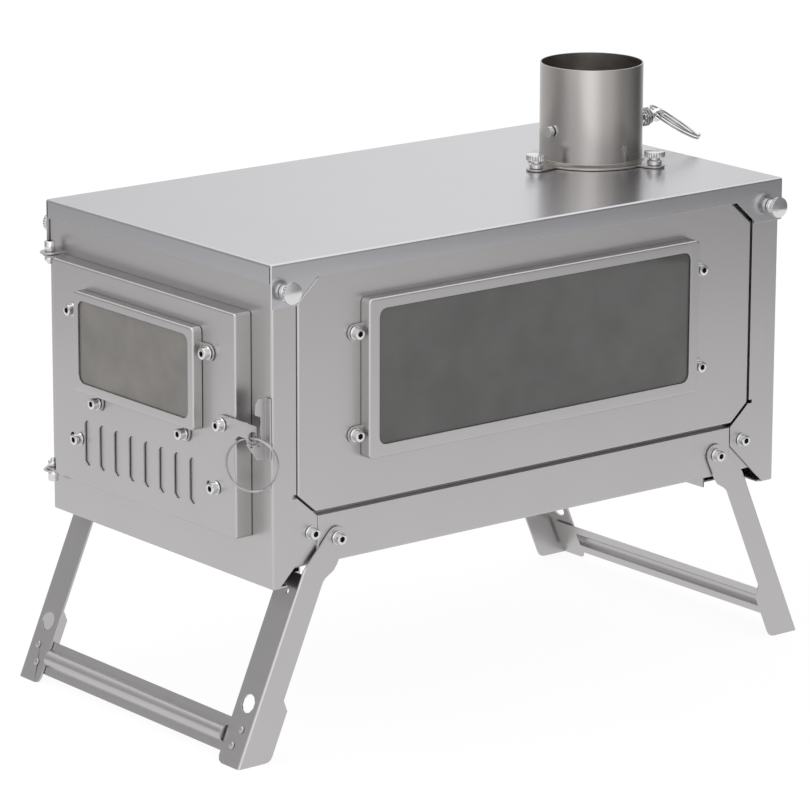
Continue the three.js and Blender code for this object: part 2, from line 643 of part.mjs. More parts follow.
// A window frame: a raised pressed rim with an opening, and a rounded lug for each screw.
function windowFrame(outline, opening, lugs, facing, base, rise) {
  const direction = facing === "right" ? 1 : -1;
  const face = base + direction * rise;
  let frame = pan(outline, 2.5, facing, face, rise, 1.2);
  for (const lug of lugs) frame = frame.add(plate(lug, facing, base + direction * SHEET, SHEET));
  const inner = block(outline, 2.5, rise, 0.2, SHEET).translate(0, 0, -SHEET);
  frame = frame.subtract(inner.transform(FACING[facing](face).toArray()));
  return frame.subtract(plate(opening, facing, face + direction, SHEET + 2));
}

// A lug reaching from (u, v) towards the direction (du, dv), with a round end.
function lugShape(u, v, du, dv, reach, radius) {
  const shape = new THREE.Shape();
  const turn = Math.atan2(dv, du);
  shape.absarc(u, v, radius, turn - Math.PI / 2, turn + Math.PI / 2);
  shape.lineTo(u - du * reach - dv * radius, v - dv * reach + du * radius);
  shape.lineTo(u - du * reach + dv * radius, v - dv * reach - du * radius);
  return shape;
}

function makeSideWindow() {
  const half = WINDOW_LENGTH / 2;
  const y0 = WINDOW_SHIFT - half;
  const y1 = WINDOW_SHIFT + half;
  const outline = rect(y0, y1, WINDOW_BASE, WINDOW_BASE + WINDOW_HEIGHT);
  const lugs = windowScrews().map(([y, z, end]) => lugShape(y, z, end, 0, WINDOW_SCREW_OUT + 0.6, 4.8));
  let frame = windowFrame(outline, windowOpening(0), lugs, "right", FRAME_X, WINDOW_RISE);
  windowScrews().forEach(([y, z], i) => {
    frame = frame.subtract(hole("right", FRAME_X, y, z, M4.shank + GAP, 3));
    const grip = SHEET * 2 + GAP * 3 + 3;
    const seat = FRAME_X + SHEET + GAP;
    socketScrew(`side_window_screw_${i + 1}`, "right", seat, y, z, grip, SHEET * 2 + GAP * 3);
  });
  addPiece("side_window_frame", frame, TITANIUM);

  const margin = SHEET + 1;
  const glassOutline = roundedRect(
    y0 + margin, y1 - margin, WINDOW_BASE + margin, WINDOW_BASE + WINDOW_HEIGHT - margin, 2);
  const glassFace = FRAME_X + WINDOW_RISE - SHEET - GAP;
  addPiece("side_glass", plate(glassOutline, "right", glassFace, GLASS), DARK_GLASS);
  const gasketFace = glassFace - GLASS - GAP;
  const gasketDepth = gasketFace - SIDE_X - GAP;
  let gasket = plate(glassOutline, "right", gasketFace, gasketDepth);
  gasket = gasket.subtract(plate(windowOpening(0), "right", gasketFace + 1, gasketDepth + 2));
  addPiece("side_glass_gasket", gasket, FIBRE);
}

// ---------- door ----------
const DOOR_SCREWS = [
  [-DOOR_WINDOW_WIDTH / 2 - 7, DOOR_SIDE_SCREW_Z, -1, 0],
  [DOOR_WINDOW_WIDTH / 2 + 7, DOOR_SIDE_SCREW_Z, 1, 0],
  [-DOOR_LOW_SCREW_X, DOOR_WINDOW_BASE - 4.9, 0, -1],
  [DOOR_LOW_SCREW_X, DOOR_WINDOW_BASE - 4.9, 0, -1],
];

function ventSlots(shape, y, depth, shift = 0) {
  const slots = [];
  for (let i = 0; i < VENT_COUNT; i += 1) {
    const x = VENT_MIDDLE_X + shift + (i - (VENT_COUNT - 1) / 2) * VENT_PITCH;
    const half = VENT_WIDTH / 2;
    const slot = slotShape(x - half, x + half, VENT_BASE, VENT_BASE + VENT_HEIGHT);
    slots.push(plate(slot, "front", y, depth));
  }
  return slots.reduce((left, slot) => left.subtract(slot), shape);
}

function makeDoor() {
  const halfX = DOOR_WIDTH / 2;
  const top = DOOR_BASE + DOOR_HEIGHT;
  const outline = rect(-halfX, halfX, DOOR_BASE, top);
  let door = pan(outline, 1.5, "front", DOOR_FACE, DOOR_DEPTH, 1.2);
  for (const [z0, z1] of [[top - SHEET, top], [DOOR_BASE, DOOR_BASE + SHEET]]) {
    const ear = new THREE.Shape();
    ear.moveTo(-halfX + 2, HINGE_Y + 4);
    ear.lineTo(HINGE_X, HINGE_Y + 4);
    ear.absarc(HINGE_X, HINGE_Y, 4, Math.PI / 2, Math.PI * 1.5);
    ear.lineTo(-halfX + 2, HINGE_Y - 4);
    door = door.add(plate(ear, "up", z1, z1 - z0));
    door = door.subtract(hole("up", HINGE_X, HINGE_Y, z0, HINGE_PIN + GAP, 4));
  }
  const light = roundedRect(
    -doorLight().x, doorLight().x, doorLight().z0, doorLight().z1, CORNER);
  door = door.subtract(plate(light, "front", DOOR_FACE - 1, SHEET + 2));
  door = ventSlots(door, DOOR_FACE - 1, SHEET + 2);
  for (const x of SLIDE_SCREWS_X) {
    const wide = M4.shank + GAP;
    const [u0, u1] = [x - SLIDE_TRAVEL - wide, x + wide];
    const slot = slotShape(u0, u1, SLIDE_SCREW_Z - wide, SLIDE_SCREW_Z + wide);
    door = door.subtract(plate(slot, "front", DOOR_FACE - 1, SHEET + 2));
  }
  for (const [x, z] of [...DOOR_SCREWS, [LATCH_X, LATCH_Z]]) {
    door = door.subtract(hole("front", x, DOOR_FACE, z, M4.shank + GAP, 3));
  }
  addPiece("door", door, TITANIUM);
}

function doorLight() {
  const x = DOOR_WINDOW_WIDTH / 2 - DOOR_WINDOW_BORDER - 3;
  const z0 = DOOR_WINDOW_BASE + DOOR_WINDOW_BORDER + 4;
  const z1 = DOOR_WINDOW_BASE + DOOR_WINDOW_HEIGHT - DOOR_WINDOW_BORDER - 3;
  return { x, z0, z1 };
}

function makeDoorWindow() {
  const halfX = DOOR_WINDOW_WIDTH / 2;
  const z0 = DOOR_WINDOW_BASE;
  const z1 = z0 + DOOR_WINDOW_HEIGHT;
  const outline = rect(-halfX, halfX, z0, z1);
  const edge = DOOR_WINDOW_BORDER;
  const opening = roundedRect(-halfX + edge, halfX - edge, z0 + edge + 1, z1 - edge, CORNER);
  const base = DOOR_FACE - GAP;
  const lugs = DOOR_SCREWS.map(([x, z, du, dv]) => {
    const reach = du === 0 ? 5.6 : 7.6;
    return lugShape(x, z, du, dv, reach, 4.8);
  });
  let frame = windowFrame(outline, opening, lugs, "front", base, DOOR_WINDOW_RISE);
  DOOR_SCREWS.forEach(([x, z], i) => {
    frame = frame.subtract(hole("front", x, base, z, M4.shank + GAP, 3));
    const seat = base - SHEET - GAP;
    const nut = SHEET * 2 + GAP * 3;
    socketScrew(`door_window_screw_${i + 1}`, "front", x, seat, z, nut + 3, nut);
  });
  addPiece("door_window_frame", frame, TITANIUM);
  const margin = SHEET + 0.8;
  const glass = roundedRect(-halfX + margin, halfX - margin, z0 + margin, z1 - margin, 2);
  const glassFace = base - DOOR_WINDOW_RISE + SHEET + GAP;
  addPiece("door_glass", plate(glass, "front", glassFace, GLASS + 0.5), DARK_GLASS);
}

function makeAirSlide() {
  const face = DOOR_FACE + SHEET + GAP;
  const [left, right] = SLIDE_SCREWS_X;
  const outline = roundedRect(left - 8, right + 8, VENT_BASE - 4, VENT_BASE + VENT_HEIGHT + 4, 3);
  let slide = plate(outline, "front", face, SHEET);
  slide = ventSlots(slide, face - 1, SHEET + 2, SLIDE_TRAVEL);
  SLIDE_SCREWS_X.forEach((x, i) => {
    slide = slide.subtract(hole("front", x, face, SLIDE_SCREW_Z, M4.shank + GAP, 3));
    const seat = DOOR_FACE - GAP;
    const nut = SHEET * 2 + GAP * 3;
    socketScrew(`air_slide_screw_${i + 1}`, "front", x, seat, SLIDE_SCREW_Z, nut + 3, nut);
  });
  addPiece("air_slide", slide, TITANIUM);
}

function makeHinges() {
  const [[, upperTop]] = hingeLugs();
  const [, [lowerFoot]] = hingeLugs();
  const ends = [["hinge_bolt_upper", "up", upperTop], ["hinge_bolt_lower", "down", lowerFoot]];
  for (const [name, facing, z] of ends) {
    const nut = SHEET * 2 + GAP * 3;
    const bolt = [
      [0, 6], [2.7, 6], [3, 5.7], [3, GAP], [HINGE_PIN, GAP], [HINGE_PIN, -nut], [3, -nut],
      [3, -nut - 2.6], [HINGE_PIN, -nut - 4.2], [0, -nut - 4.2],
    ];
    addPiece(name, turned(bolt, facing, HINGE_X, HINGE_Y, z), CHROME);
  }
}

// ---------- latch ----------
const STRAP_FACE = DOOR_FACE - GAP - SHEET;
const TONGUE = { x: LATCH_X + LATCH_REACH, back: FRONT_Y - 4.4, holeY: FRONT_Y - 8.4, holeZ: LATCH_Z - 2.7 };
const LATCH_FOOT = LATCH_Z - 6.3;

function makeLatchBar() {
  const top = LATCH_FOOT + LATCH_HEIGHT;
  const strap = new THREE.Shape();
  const left = LATCH_X - 0.2;
  const radius = LATCH_HEIGHT / 2;
  strap.absarc(left, LATCH_FOOT + radius, radius, Math.PI / 2, Math.PI * 1.5);
  strap.lineTo(TONGUE.x - 11, LATCH_FOOT);
  strap.lineTo(TONGUE.x - 7, LATCH_FOOT + 3);
  strap.lineTo(TONGUE.x, LATCH_FOOT + 3);
  strap.lineTo(TONGUE.x, top);
  let bar = plate(strap, "front", STRAP_FACE, SHEET);
  const foot = LATCH_FOOT - 1.1;
  const [toeFront, toeBack] = [FRONT_Y - 11, FRONT_Y - 8.5];
  const tongue = polygon([
    [STRAP_FACE, top],
    [STRAP_FACE, LATCH_FOOT + 3],
    [toeFront, foot],
    [toeBack, foot],
    [TONGUE.back, LATCH_FOOT],
    [TONGUE.back, top - 3.6],
  ]);
  bar = bar.add(plate(tongue, "right", TONGUE.x, SHEET));
  bar = bar.add(box(TONGUE.x - SHEET, TONGUE.x + 4, toeFront, toeBack, foot, foot + SHEET));
  bar = bar.subtract(hole("right", TONGUE.x, TONGUE.holeY, TONGUE.holeZ, 2.7, 4));
  bar = bar.subtract(hole("front", LATCH_X, STRAP_FACE, LATCH_Z, M4.shank + GAP, 4));
  addPiece("latch_bar", bar, TITANIUM);
  const nut = SHEET * 2 + GAP * 3;
  socketScrew("latch_screw", "front", LATCH_X, STRAP_FACE - GAP, LATCH_Z, nut + 3, nut);
}

function makeLatchKeeper() {
  const x = TONGUE.x + 1.2;
  const back = FRONT_Y - GAP;
  const foot = LATCH_FOOT - 9.4;
  const crook = LATCH_FOOT - 1.7;
  const top = LATCH_FOOT + 24.2;
  const hook = polygon([
    [back, foot],
    [FRONT_Y - 6.8, foot],
    [FRONT_Y - 13.5, LATCH_FOOT + 0.2],
    [FRONT_Y - 12, LATCH_FOOT + 1],
    [FRONT_Y - 11.5, crook],
    [FRONT_Y - 4.5, crook],
    [FRONT_Y - 4.5, LATCH_FOOT + 14],
    [FRONT_Y - 7.8, LATCH_FOOT + 15.5],
    [FRONT_Y - 7.8, top - 3],
    [FRONT_Y - 5.6, top],
    [back, top],
  ]);
  let keeper = plate(hook, "right", x + SHEET, SHEET);
  keeper = keeper.add(box(x, x + 4.8, back - SHEET, back, foot, top));
  addPiece("latch_keeper", keeper, TITANIUM);
}

function makeLatchRing() {
  const turn = rad(LATCH_RING_TURN);
  const across = new THREE.Vector3(Math.cos(turn), Math.sin(turn), 0);
  const axis = new THREE.Vector3(-Math.sin(turn), Math.cos(turn), 0);
  const hang = TONGUE.holeZ - 1.1;
  const centre = new THREE.Vector3(TONGUE.x - SHEET / 2, TONGUE.holeY, hang - LATCH_RING_RADIUS);
  const ring = coil({
    centre, axis, from: across.clone().setZ(-0.9), radius: LATCH_RING_RADIUS,
    pitch: 1.4, turns: 1.9, wire: 0.95, steps: 24, sides: 6,
  });
  addPiece("latch_ring", ring, CHROME);
}

// ---------- flue ----------
function makeFlue() {
  const radius = FLUE_DIAMETER / 2;
  const base = LID_TOP + GAP;
  const disc = [[0, base], [FLUE_RING, base], [FLUE_RING, base + SHEET], [0, base + SHEET]];
  let collar = turned(disc, "up", FLUE_X, FLUE_Y, 0, PIPE_SIDES);
  const rim = radius + FLUE_ROLL;
  const top = base + SHEET + 0.8;
  const roll = [[0, base], [rim, base], [rim, top - 0.8], [rim - 0.8, top], [0, top]];
  collar = collar.add(turned(roll, "up", FLUE_X, FLUE_Y, 0, PIPE_SIDES));
  for (const [angle, reach] of FLUE_EARS) {
    const turn = rad(angle);
    const [du, dv] = [Math.cos(turn), Math.sin(turn)];
    const [x, y] = flueScrewAt(angle, reach);
    const ear = lugShape(x, y, du, dv, 12, FLUE_EAR_RADIUS);
    collar = collar.add(plate(ear, "up", base + SHEET, SHEET));
  }
  const rimZ = LID_TOP + FLUE_TOP;
  const foot = LID_TOP - FLUE_TUCK;
  const tube = [[0, foot], [radius, foot], [radius, rimZ], [0, rimZ]];
  collar = collar.add(turned(tube, "up", FLUE_X, FLUE_Y, 0, PIPE_SIDES));
  const inner = radius - FLUE_WALL;
  const bore = [[0, foot - 1], [inner, foot - 1], [inner, rimZ + 1], [0, rimZ + 1]];
  collar = collar.subtract(turned(bore, "up", FLUE_X, FLUE_Y, 0, PIPE_SIDES));
  const axleZ = LID_TOP + DAMPER_RISE;
  collar = collar.subtract(hole("back", FLUE_X, FLUE_Y, axleZ, AXLE / 2 + GAP, radius + 5));
  for (const [angle, reach] of FLUE_EARS) {
    const [x, y] = flueScrewAt(angle, reach);
    collar = collar.subtract(hole("up", x, y, LID_TOP, THUMB.shank + GAP, 4));
  }
  addPiece("flue_collar", collar, PIPE_STEEL);
  FLUE_EARS.forEach(([angle, reach], i) => {
    const [x, y] = flueScrewAt(angle, reach);
    thumbScrew(`flue_thumbscrew_${i + 1}`, "up", x, y, base + SHEET + GAP, 4.6, 3.2, 6);
  });
}

function makeDamper() {
  const z = LID_TOP + DAMPER_RISE;
  const pivot = new THREE.Vector3(FLUE_X, FLUE_Y, z);
  const inner = FLUE_DIAMETER / 2 - FLUE_WALL;
  const disc = inner - DAMPER_CLEARANCE;
  const reach = AXLE_EYE_REACH;
  const head = FLUE_DIAMETER / 2 + 0.5;
  let axle = turned(
    [[0, reach - 2], [AXLE / 2, reach - 2], [AXLE / 2, -head], [3.4, -head], [3.4, -head - 2.6], [0, -head - 2.6]],
    "back", 0, 0, 0);
  const collarAt = reach - 4.4;
  const washer = [[0, collarAt], [4.6, collarAt], [4.6, collarAt - 1.2], [0, collarAt - 1.2]];
  axle = axle.add(turned(washer, "back", 0, 0, 0));
  const eye = turned([[0, 1.2], [4.2, 1.2], [4.2, -1.2], [0, -1.2]], "right", 0, reach + 1.5, 0);
  axle = axle.add(eye).subtract(hole("right", 0, reach + 1.5, 0, 2.3, 3));
  axle = axle.subtract(box(-AXLE, AXLE, -disc - 0.6, disc + 0.6, 0.9, AXLE));
  axle = turnDamper(axle, pivot);
  addPiece("damper_axle", axle, CHROME);

  const shape = new THREE.Shape();
  shape.absarc(0, 0, disc, 0, 2 * Math.PI);
  let flap = solid(new THREE.ExtrudeGeometry(shape, { depth: SHEET, bevelEnabled: false, curveSegments: 16 }));
  flap = turnDamper(flap.translate(0, 0, 1.2), pivot);
  addPiece("damper_plate", flap, PIPE_STEEL);

  const start = FLUE_DIAMETER / 2 + SPRING_WIRE / 2 + GAP;
  const end = collarAt - 1.2 - GAP - SPRING_WIRE / 2;
  const spring = coil({
    centre: new THREE.Vector3(FLUE_X, FLUE_Y + (start + end) / 2, z),
    axis: new THREE.Vector3(0, 1, 0), from: new THREE.Vector3(0, 0, 1),
    radius: (SPRING_DIAMETER - SPRING_WIRE) / 2, pitch: (end - start) / SPRING_TURNS,
    turns: SPRING_TURNS, wire: SPRING_WIRE, steps: 8, sides: 5,
  });
  addPiece("damper_spring", spring, CHROME);

  const eyeAt = new THREE.Vector3(0, reach + 1.5, 0);
  const drop = rad(DAMPER_RING_DROP);
  const out = new THREE.Vector3(0, Math.cos(drop), -Math.sin(drop));
  const axis = new THREE.Vector3(0, Math.sin(drop), Math.cos(drop));
  const spin = new THREE.Matrix4().makeRotationY(rad(DAMPER_TURN));
  const centre = eyeAt.addScaledVector(out, DAMPER_RING_RADIUS).applyMatrix4(spin).add(pivot);
  const ring = coil({
    centre, axis: axis.applyMatrix4(spin), from: out.clone().applyMatrix4(spin),
    radius: DAMPER_RING_RADIUS, pitch: 1.75, turns: 1.9, wire: 1.25, steps: 24, sides: 6,
  });
  addPiece("damper_ring", ring, CHROME);
}

function turnDamper(body, pivot) {
  const place = new THREE.Matrix4().makeRotationY(rad(DAMPER_TURN)).setPosition(pivot);
  return body.transform(place.toArray());
}

// ---------- legs ----------
// Leg axes: s runs down the leg from its pivot, w runs outwards to the leg's face.
function legPoint(s, w) {
  const lean = rad(LEG_LEAN);
  return [s * Math.sin(lean) + w * Math.cos(lean), PIVOT_Z - s * Math.cos(lean) + w * Math.sin(lean)];
}

function legOutline() {
  const shape = new THREE.Shape();
  const inner = LEG_OUT - LEG_WIDTH;
  const footInner = LEG_OUT - FOOT_WIDTH;
  const lean = rad(LEG_LEAN);
  shape.moveTo(...legPoint(groundReach(LEG_OUT), LEG_OUT));
  shape.lineTo(...legPoint(LEG_FLANGE_TOP - 2, LEG_OUT));
  shape.absarc(0, PIVOT_Z, LEG_HEAD, rad(46), Math.PI + lean);
  const knee = CROSSBAR_TOP - 17.3; // where the leg widens into its foot
  const foot = groundReach(footInner);
  const rest = [
    [13.5, -LEG_HEAD + 0.5], [17.5, -LEG_HEAD + 1.4], [22.5, inner - 1], [25, inner],
    [knee, inner], [knee + 5, footInner], [foot - FOOT_CORNER, footInner],
  ];
  for (const [s, w] of rest) shape.lineTo(...legPoint(s, w));
  const [u, v] = legPoint(foot, footInner);
  shape.quadraticCurveTo(u, v, u + FOOT_CORNER, v);
  return shape;
}

// How far down the leg a line at w meets the ground.
function groundReach(w) {
  const lean = rad(LEG_LEAN);
  return (PIVOT_Z + w * Math.sin(lean)) / Math.cos(lean);
}

function makeLegFrame(end) {
  const word = end < 0 ? "front" : "rear";
  const x0 = LEG_X;
  const x1 = LEG_X + LEG_SHEET;
  const lean = rad(LEG_LEAN);
  const pivotY = LEG_PIVOTS[end < 0 ? 0 : 1];
  // Built for the rear, where +Y is outwards, with the pivot on y = 0, and mirrored for the front.
  const along = new THREE.Matrix4().makeRotationX(lean).setPosition(0, 0, PIVOT_Z);
  const inLeg = (body) => body.transform(along.toArray()); // s runs along -Z, w along +Y
  const far = BODY_LENGTH;
  const ground = box(-far, far, -far, far, 0, far);
  const sidePlate = plate(legOutline(), "right", x1, LEG_SHEET);
  const sole = -groundReach(LEG_OUT);
  const edge = x1 - LEG_FLANGE;
  const corner = FOOT_CORNER + 0.5;
  const sheet = [
    [edge, -LEG_FLANGE_TOP - 3], [edge + 2, -LEG_FLANGE_TOP], [x1, -LEG_FLANGE_TOP], [x1, sole - 1],
    [edge + corner, sole - 1], [edge + corner, sole], [edge + corner * 0.3, sole + corner * 0.3],
    [edge, sole + corner],
  ].map(([u, v]) => [-u, v]);
  let flange = inLeg(plate(polygon(sheet), "back", LEG_OUT, LEG_SHEET));
  const holes = [
    [x1 - 9.8, CROSSBAR_TOP - 10, 5.4],
    [x1 - 8.2, LEG_FLANGE_TOP + 11, 1.3],
    ...rivetPlaces(x1).map(([x, s]) => [x, s, 1.6]),
  ];
  for (const [x, s, radius] of holes) {
    flange = flange.subtract(inLeg(hole("back", x, LEG_OUT, -s, radius, 4)));
  }
  let leg = sidePlate.add(flange).intersect(ground);
  leg = leg.subtract(inLeg(bendCutter(x1, LEG_OUT, BEND)));
  leg = leg.subtract(hole("right", x1, 0, PIVOT_Z, M4.shank + GAP, 4));
  const place = (body) => (end < 0 ? body.mirror([0, 1, 0]) : body).translate(0, pivotY, 0);
  addPiece(`${word}_leg_right`, place(leg), TITANIUM);
  addPiece(`${word}_leg_left`, place(leg.mirror([1, 0, 0])), TITANIUM);
  addPiece(`${word}_crossbar`, place(inLeg(makeCrossbar(x1))), TITANIUM);
  for (const side of [-1, 1]) {
    const facing = side > 0 ? "right" : "left";
    const name = `${word}_pivot_screw_${side > 0 ? "right" : "left"}`;
    const nut = SHEET + LEG_SHEET + GAP * 3 + 0.1;
    socketScrew(name, facing, side * (x1 + GAP), pivotY, PIVOT_Z, nut + 3, nut);
  }
}

// Rounds the folded edge at (x, w): the corner square minus the bend's quarter round.
function bendCutter(x, w, radius) {
  const shape = new THREE.Shape();
  shape.moveTo(x + 1, w + 1);
  shape.lineTo(x - radius, w + 1);
  shape.lineTo(x - radius, w);
  shape.absarc(x - radius, w - radius, radius, Math.PI / 2, 0, true);
  shape.lineTo(x + 1, w - radius);
  return plate(shape, "up", LEG_HEAD, BODY_LENGTH);
}

function rivetPlaces(x1) {
  return [[x1 - 8.2, CROSSBAR_TOP + 4.5], [x1 - 11.7, CROSSBAR_TOP + 14.2]];
}

// The crossbar: end tabs behind the flanges, a rolled bead between them and a rivet head each.
function makeCrossbar(x1) {
  const sheet = 0.8;
  const out = LEG_OUT - LEG_SHEET - GAP;
  const reach = x1 - 4.6;
  const low = -CROSSBAR_TOP - CROSSBAR_HEIGHT;
  let bar = box(-reach, reach, out - sheet, out, low, -CROSSBAR_TOP);
  const span = x1 - LEG_FLANGE - 1.5;
  const middle = -CROSSBAR_TOP - CROSSBAR_HEIGHT / 2;
  const bead = new THREE.Shape();
  bead.absarc(out - 0.3, middle, BEAD, -Math.PI / 2, Math.PI / 2);
  bar = bar.add(plate(bead, "right", span, span * 2));
  const hollow = new THREE.Shape();
  hollow.absarc(out - sheet - 0.3, middle, BEAD - sheet, -Math.PI / 2, Math.PI / 2);
  bar = bar.subtract(plate(hollow, "right", span - sheet, 2 * (span - sheet)));
  bar = bar.subtract(box(-span + sheet, span - sheet, out - 3, out - sheet + 0.01, middle - 4.2, middle + 4.2));
  const head = LEG_SHEET + GAP * 2;
  for (const side of [-1, 1]) {
    for (const [x, s] of rivetPlaces(x1)) {
      const rivet = [[0, head + 0.7], [1.5, head + 0.4], [2.2, head], [1.3, head], [1.3, -0.4], [0, -0.4]];
      bar = bar.add(turned(rivet, "back", side * x, out, -s, 8));
    }
  }
  return bar;
}

// ---------- fasteners of the body ----------
function makeBodyFasteners() {
  for (const side of [-1, 1]) {
    const facing = side > 0 ? "right" : "left";
    const word = side > 0 ? "right" : "left";
    for (const end of [-1, 1]) {
      const where = `${end < 0 ? "front" : "rear"}_${word}`;
      const lidX = side * (LID_HALF_X + GAP);
      const y = end * LID_SCREW.y;
      thumbScrew(`lid_thumbscrew_${where}`, facing, lidX, y, LID_SCREW.z, 4.6, 2.8, 6);
      const nut = SHEET * 2 + GAP * 3;
      const gussetY = end * GUSSET_SCREW.y;
      const x = side * (SIDE_X + GAP);
      socketScrew(`corner_screw_${where}`, facing, x, gussetY, GUSSET_SCREW.z, nut + 3, nut);
    }
  }
}

makeLid();
makeEndPanel(-1);
makeEndPanel(1);
makeTray();
makeGrate();
makeSidePanel(1);
makeSidePanel(-1);
makeSideWindow();
makeDoor();
makeDoorWindow();
makeAirSlide();
makeHinges();
makeLatchBar();
makeLatchKeeper();
makeLatchRing();
makeFlue();
makeDamper();
makeLegFrame(-1);
makeLegFrame(1);
makeBodyFasteners();

// The origin is the middle of the bounding box to the nearest 0.05 mm, on the ground.
const bounds = new THREE.Box3().setFromObject(group);
const middle = bounds.getCenter(new THREE.Vector3()).multiplyScalar(20).round().divideScalar(20);
group.position.set(-middle.x, -middle.y, -bounds.min.z);
group.updateMatrixWorld(true);
console.log("shift", (-middle.x).toFixed(3), (-middle.y).toFixed(3), (-bounds.min.z).toFixed(3));

export default group;
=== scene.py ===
"""A folding tent wood stove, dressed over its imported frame.

Run as a script, it makes every piece, the stage and the camera in one go. Sizes are millimetres
in the code and metres in Blender, and +Z is up with the door towards -Y."""

import json
import math

import bpy
from mathutils import Matrix, Vector

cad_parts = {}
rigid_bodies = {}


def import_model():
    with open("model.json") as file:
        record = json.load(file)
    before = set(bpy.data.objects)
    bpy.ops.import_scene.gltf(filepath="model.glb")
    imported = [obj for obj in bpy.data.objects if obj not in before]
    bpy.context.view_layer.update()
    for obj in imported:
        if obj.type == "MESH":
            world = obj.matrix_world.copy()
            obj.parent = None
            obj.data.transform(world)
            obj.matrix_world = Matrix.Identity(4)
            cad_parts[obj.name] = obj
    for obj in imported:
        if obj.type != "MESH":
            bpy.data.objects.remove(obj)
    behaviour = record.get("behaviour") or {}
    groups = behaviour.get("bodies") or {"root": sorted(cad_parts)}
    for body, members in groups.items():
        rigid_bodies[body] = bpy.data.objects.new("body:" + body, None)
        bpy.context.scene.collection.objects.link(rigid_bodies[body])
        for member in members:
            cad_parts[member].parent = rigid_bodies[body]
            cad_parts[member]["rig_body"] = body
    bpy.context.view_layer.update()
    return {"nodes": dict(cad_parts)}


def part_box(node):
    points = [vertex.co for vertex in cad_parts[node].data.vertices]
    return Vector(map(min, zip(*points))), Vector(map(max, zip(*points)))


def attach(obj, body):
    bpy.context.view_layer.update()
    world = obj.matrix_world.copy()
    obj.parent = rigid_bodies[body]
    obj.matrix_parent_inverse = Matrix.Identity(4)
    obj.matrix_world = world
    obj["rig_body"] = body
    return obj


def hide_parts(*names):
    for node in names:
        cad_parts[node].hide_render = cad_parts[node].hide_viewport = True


bl_info = {
    "name": "Tent wood stove",
    "version": (1, 0, 0),
    "blender": (4, 5, 0),
    "location": "View3D > Sidebar > Stove",
    "description": "Builds a folding sheet-metal wood stove piece by piece",
    "category": "Object",
}

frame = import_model()
NODES = frame["nodes"]
MM = 0.001


def at(x, y, z):
    """A place in millimetres round the lid's middle, as a place in the frame."""
    low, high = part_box("lid")
    return Vector((x * MM, y * MM + (low.y + high.y) / 2, z * MM))


def srgb(code):
    """A hex colour as linear red, green and blue."""
    values = [int(code[i:i + 2], 16) / 255 for i in (1, 3, 5)]
    return tuple(v / 12.92 if v <= 0.04045 else ((v + 0.055) / 1.055) ** 2.4 for v in values)


def colour(label, about, code):
    return bpy.props.FloatVectorProperty(
        name=label, description=about, subtype="COLOR", size=3, min=0, max=1, default=srgb(code))


def length(label, about, millimetres):
    return bpy.props.FloatProperty(
        name=label, description=about, unit="LENGTH", min=0, precision=5, default=millimetres * MM)


class StoveFinishes(bpy.types.PropertyGroup):
    """Colours of the stove's metals, glass and fibre."""
    sheet: colour("Body sheet", "Satin sheet of the panels, door and legs", "#BCBABA")
    # The lid's brighter, cooler tone is painted light of the sky above it; it is the same sheet as
    # the body.
    lid: colour("Lid sheet", "Sheet of the lid, a little brighter and cooler", "#BEBDC1")
    tube: colour("Flue tube", "Polished satin tube of the flue collar", "#B4B0AD")
    hardware: colour("Hardware", "Bright screws and the damper's axle", "#DADADA")
    wire: colour("Wire", "Polished wire of the rings and the spring", "#A6A6A6")
    socket: colour("Socket", "Dirt and shade inside the screw sockets", "#3A3938")
    # Both glass greys are painted shade of the dark firebox behind clear glass; the door's lighter
    # grey is painted light on its pane.
    glass: colour("Side glass", "Grey of the long window's shade-painted glass", "#696867")
    door_glass: colour("Door glass", "Grey of the door's glass, a little warmer", "#918D89")
    fibre: colour("Fibre", "Woven seal behind the side glass", "#8B867C")
    grate: colour("Grate", "Plain sheet of the grate", "#8A8681")


class StoveSizes(bpy.types.PropertyGroup):
    """Sizes of the small parts that are modelled here."""
    cut_edge: length("Cut edge", "Rounding of a sheet's cut edge", 0.14)
    washer_radius: length("Washer radius", "Washer under a socket-head screw", 3.7)
    washer: length("Washer", "Thickness of that washer", 0.8)
    head_radius: length("Head radius", "Socket-head screw's head", 3.15)
    head: length("Head", "Height of that head", 3.6)
    socket_radius: length("Socket radius", "Hexagon socket, centre to corner", 1.8)
    socket: length("Socket depth", "Depth of the hexagon socket", 2.2)
    nut: length("Nut", "Thickness of the nut", 3.0)
    shank_radius: length("Shank radius", "Screw shank", 2.0)
    thumb_radius: length("Thumb head radius", "Knurled head of a thumbscrew", 6.0)
    thumb_neck: length("Thumb neck", "From seat to the underside of the head", 4.6)
    thumb_shank: length("Thumb shank radius", "Shank of a thumbscrew", 2.5)
    thumb_grip: length("Thumb grip", "Shank below the seat", 6.0)
    latch_ring: length("Latch ring", "Radius of the split ring on the latch", 14.5)
    latch_wire: length("Latch ring wire", "Thickness of its wire", 0.95)
    damper_ring: length("Damper ring", "Radius of the split ring on the damper", 17.0)
    damper_wire: length("Damper ring wire", "Thickness of its wire", 1.25)
    spring: length("Damper spring", "Radius of the spring on the damper's axle", 4.95)
    spring_wire: length("Spring wire", "Thickness of its wire", 1.1)


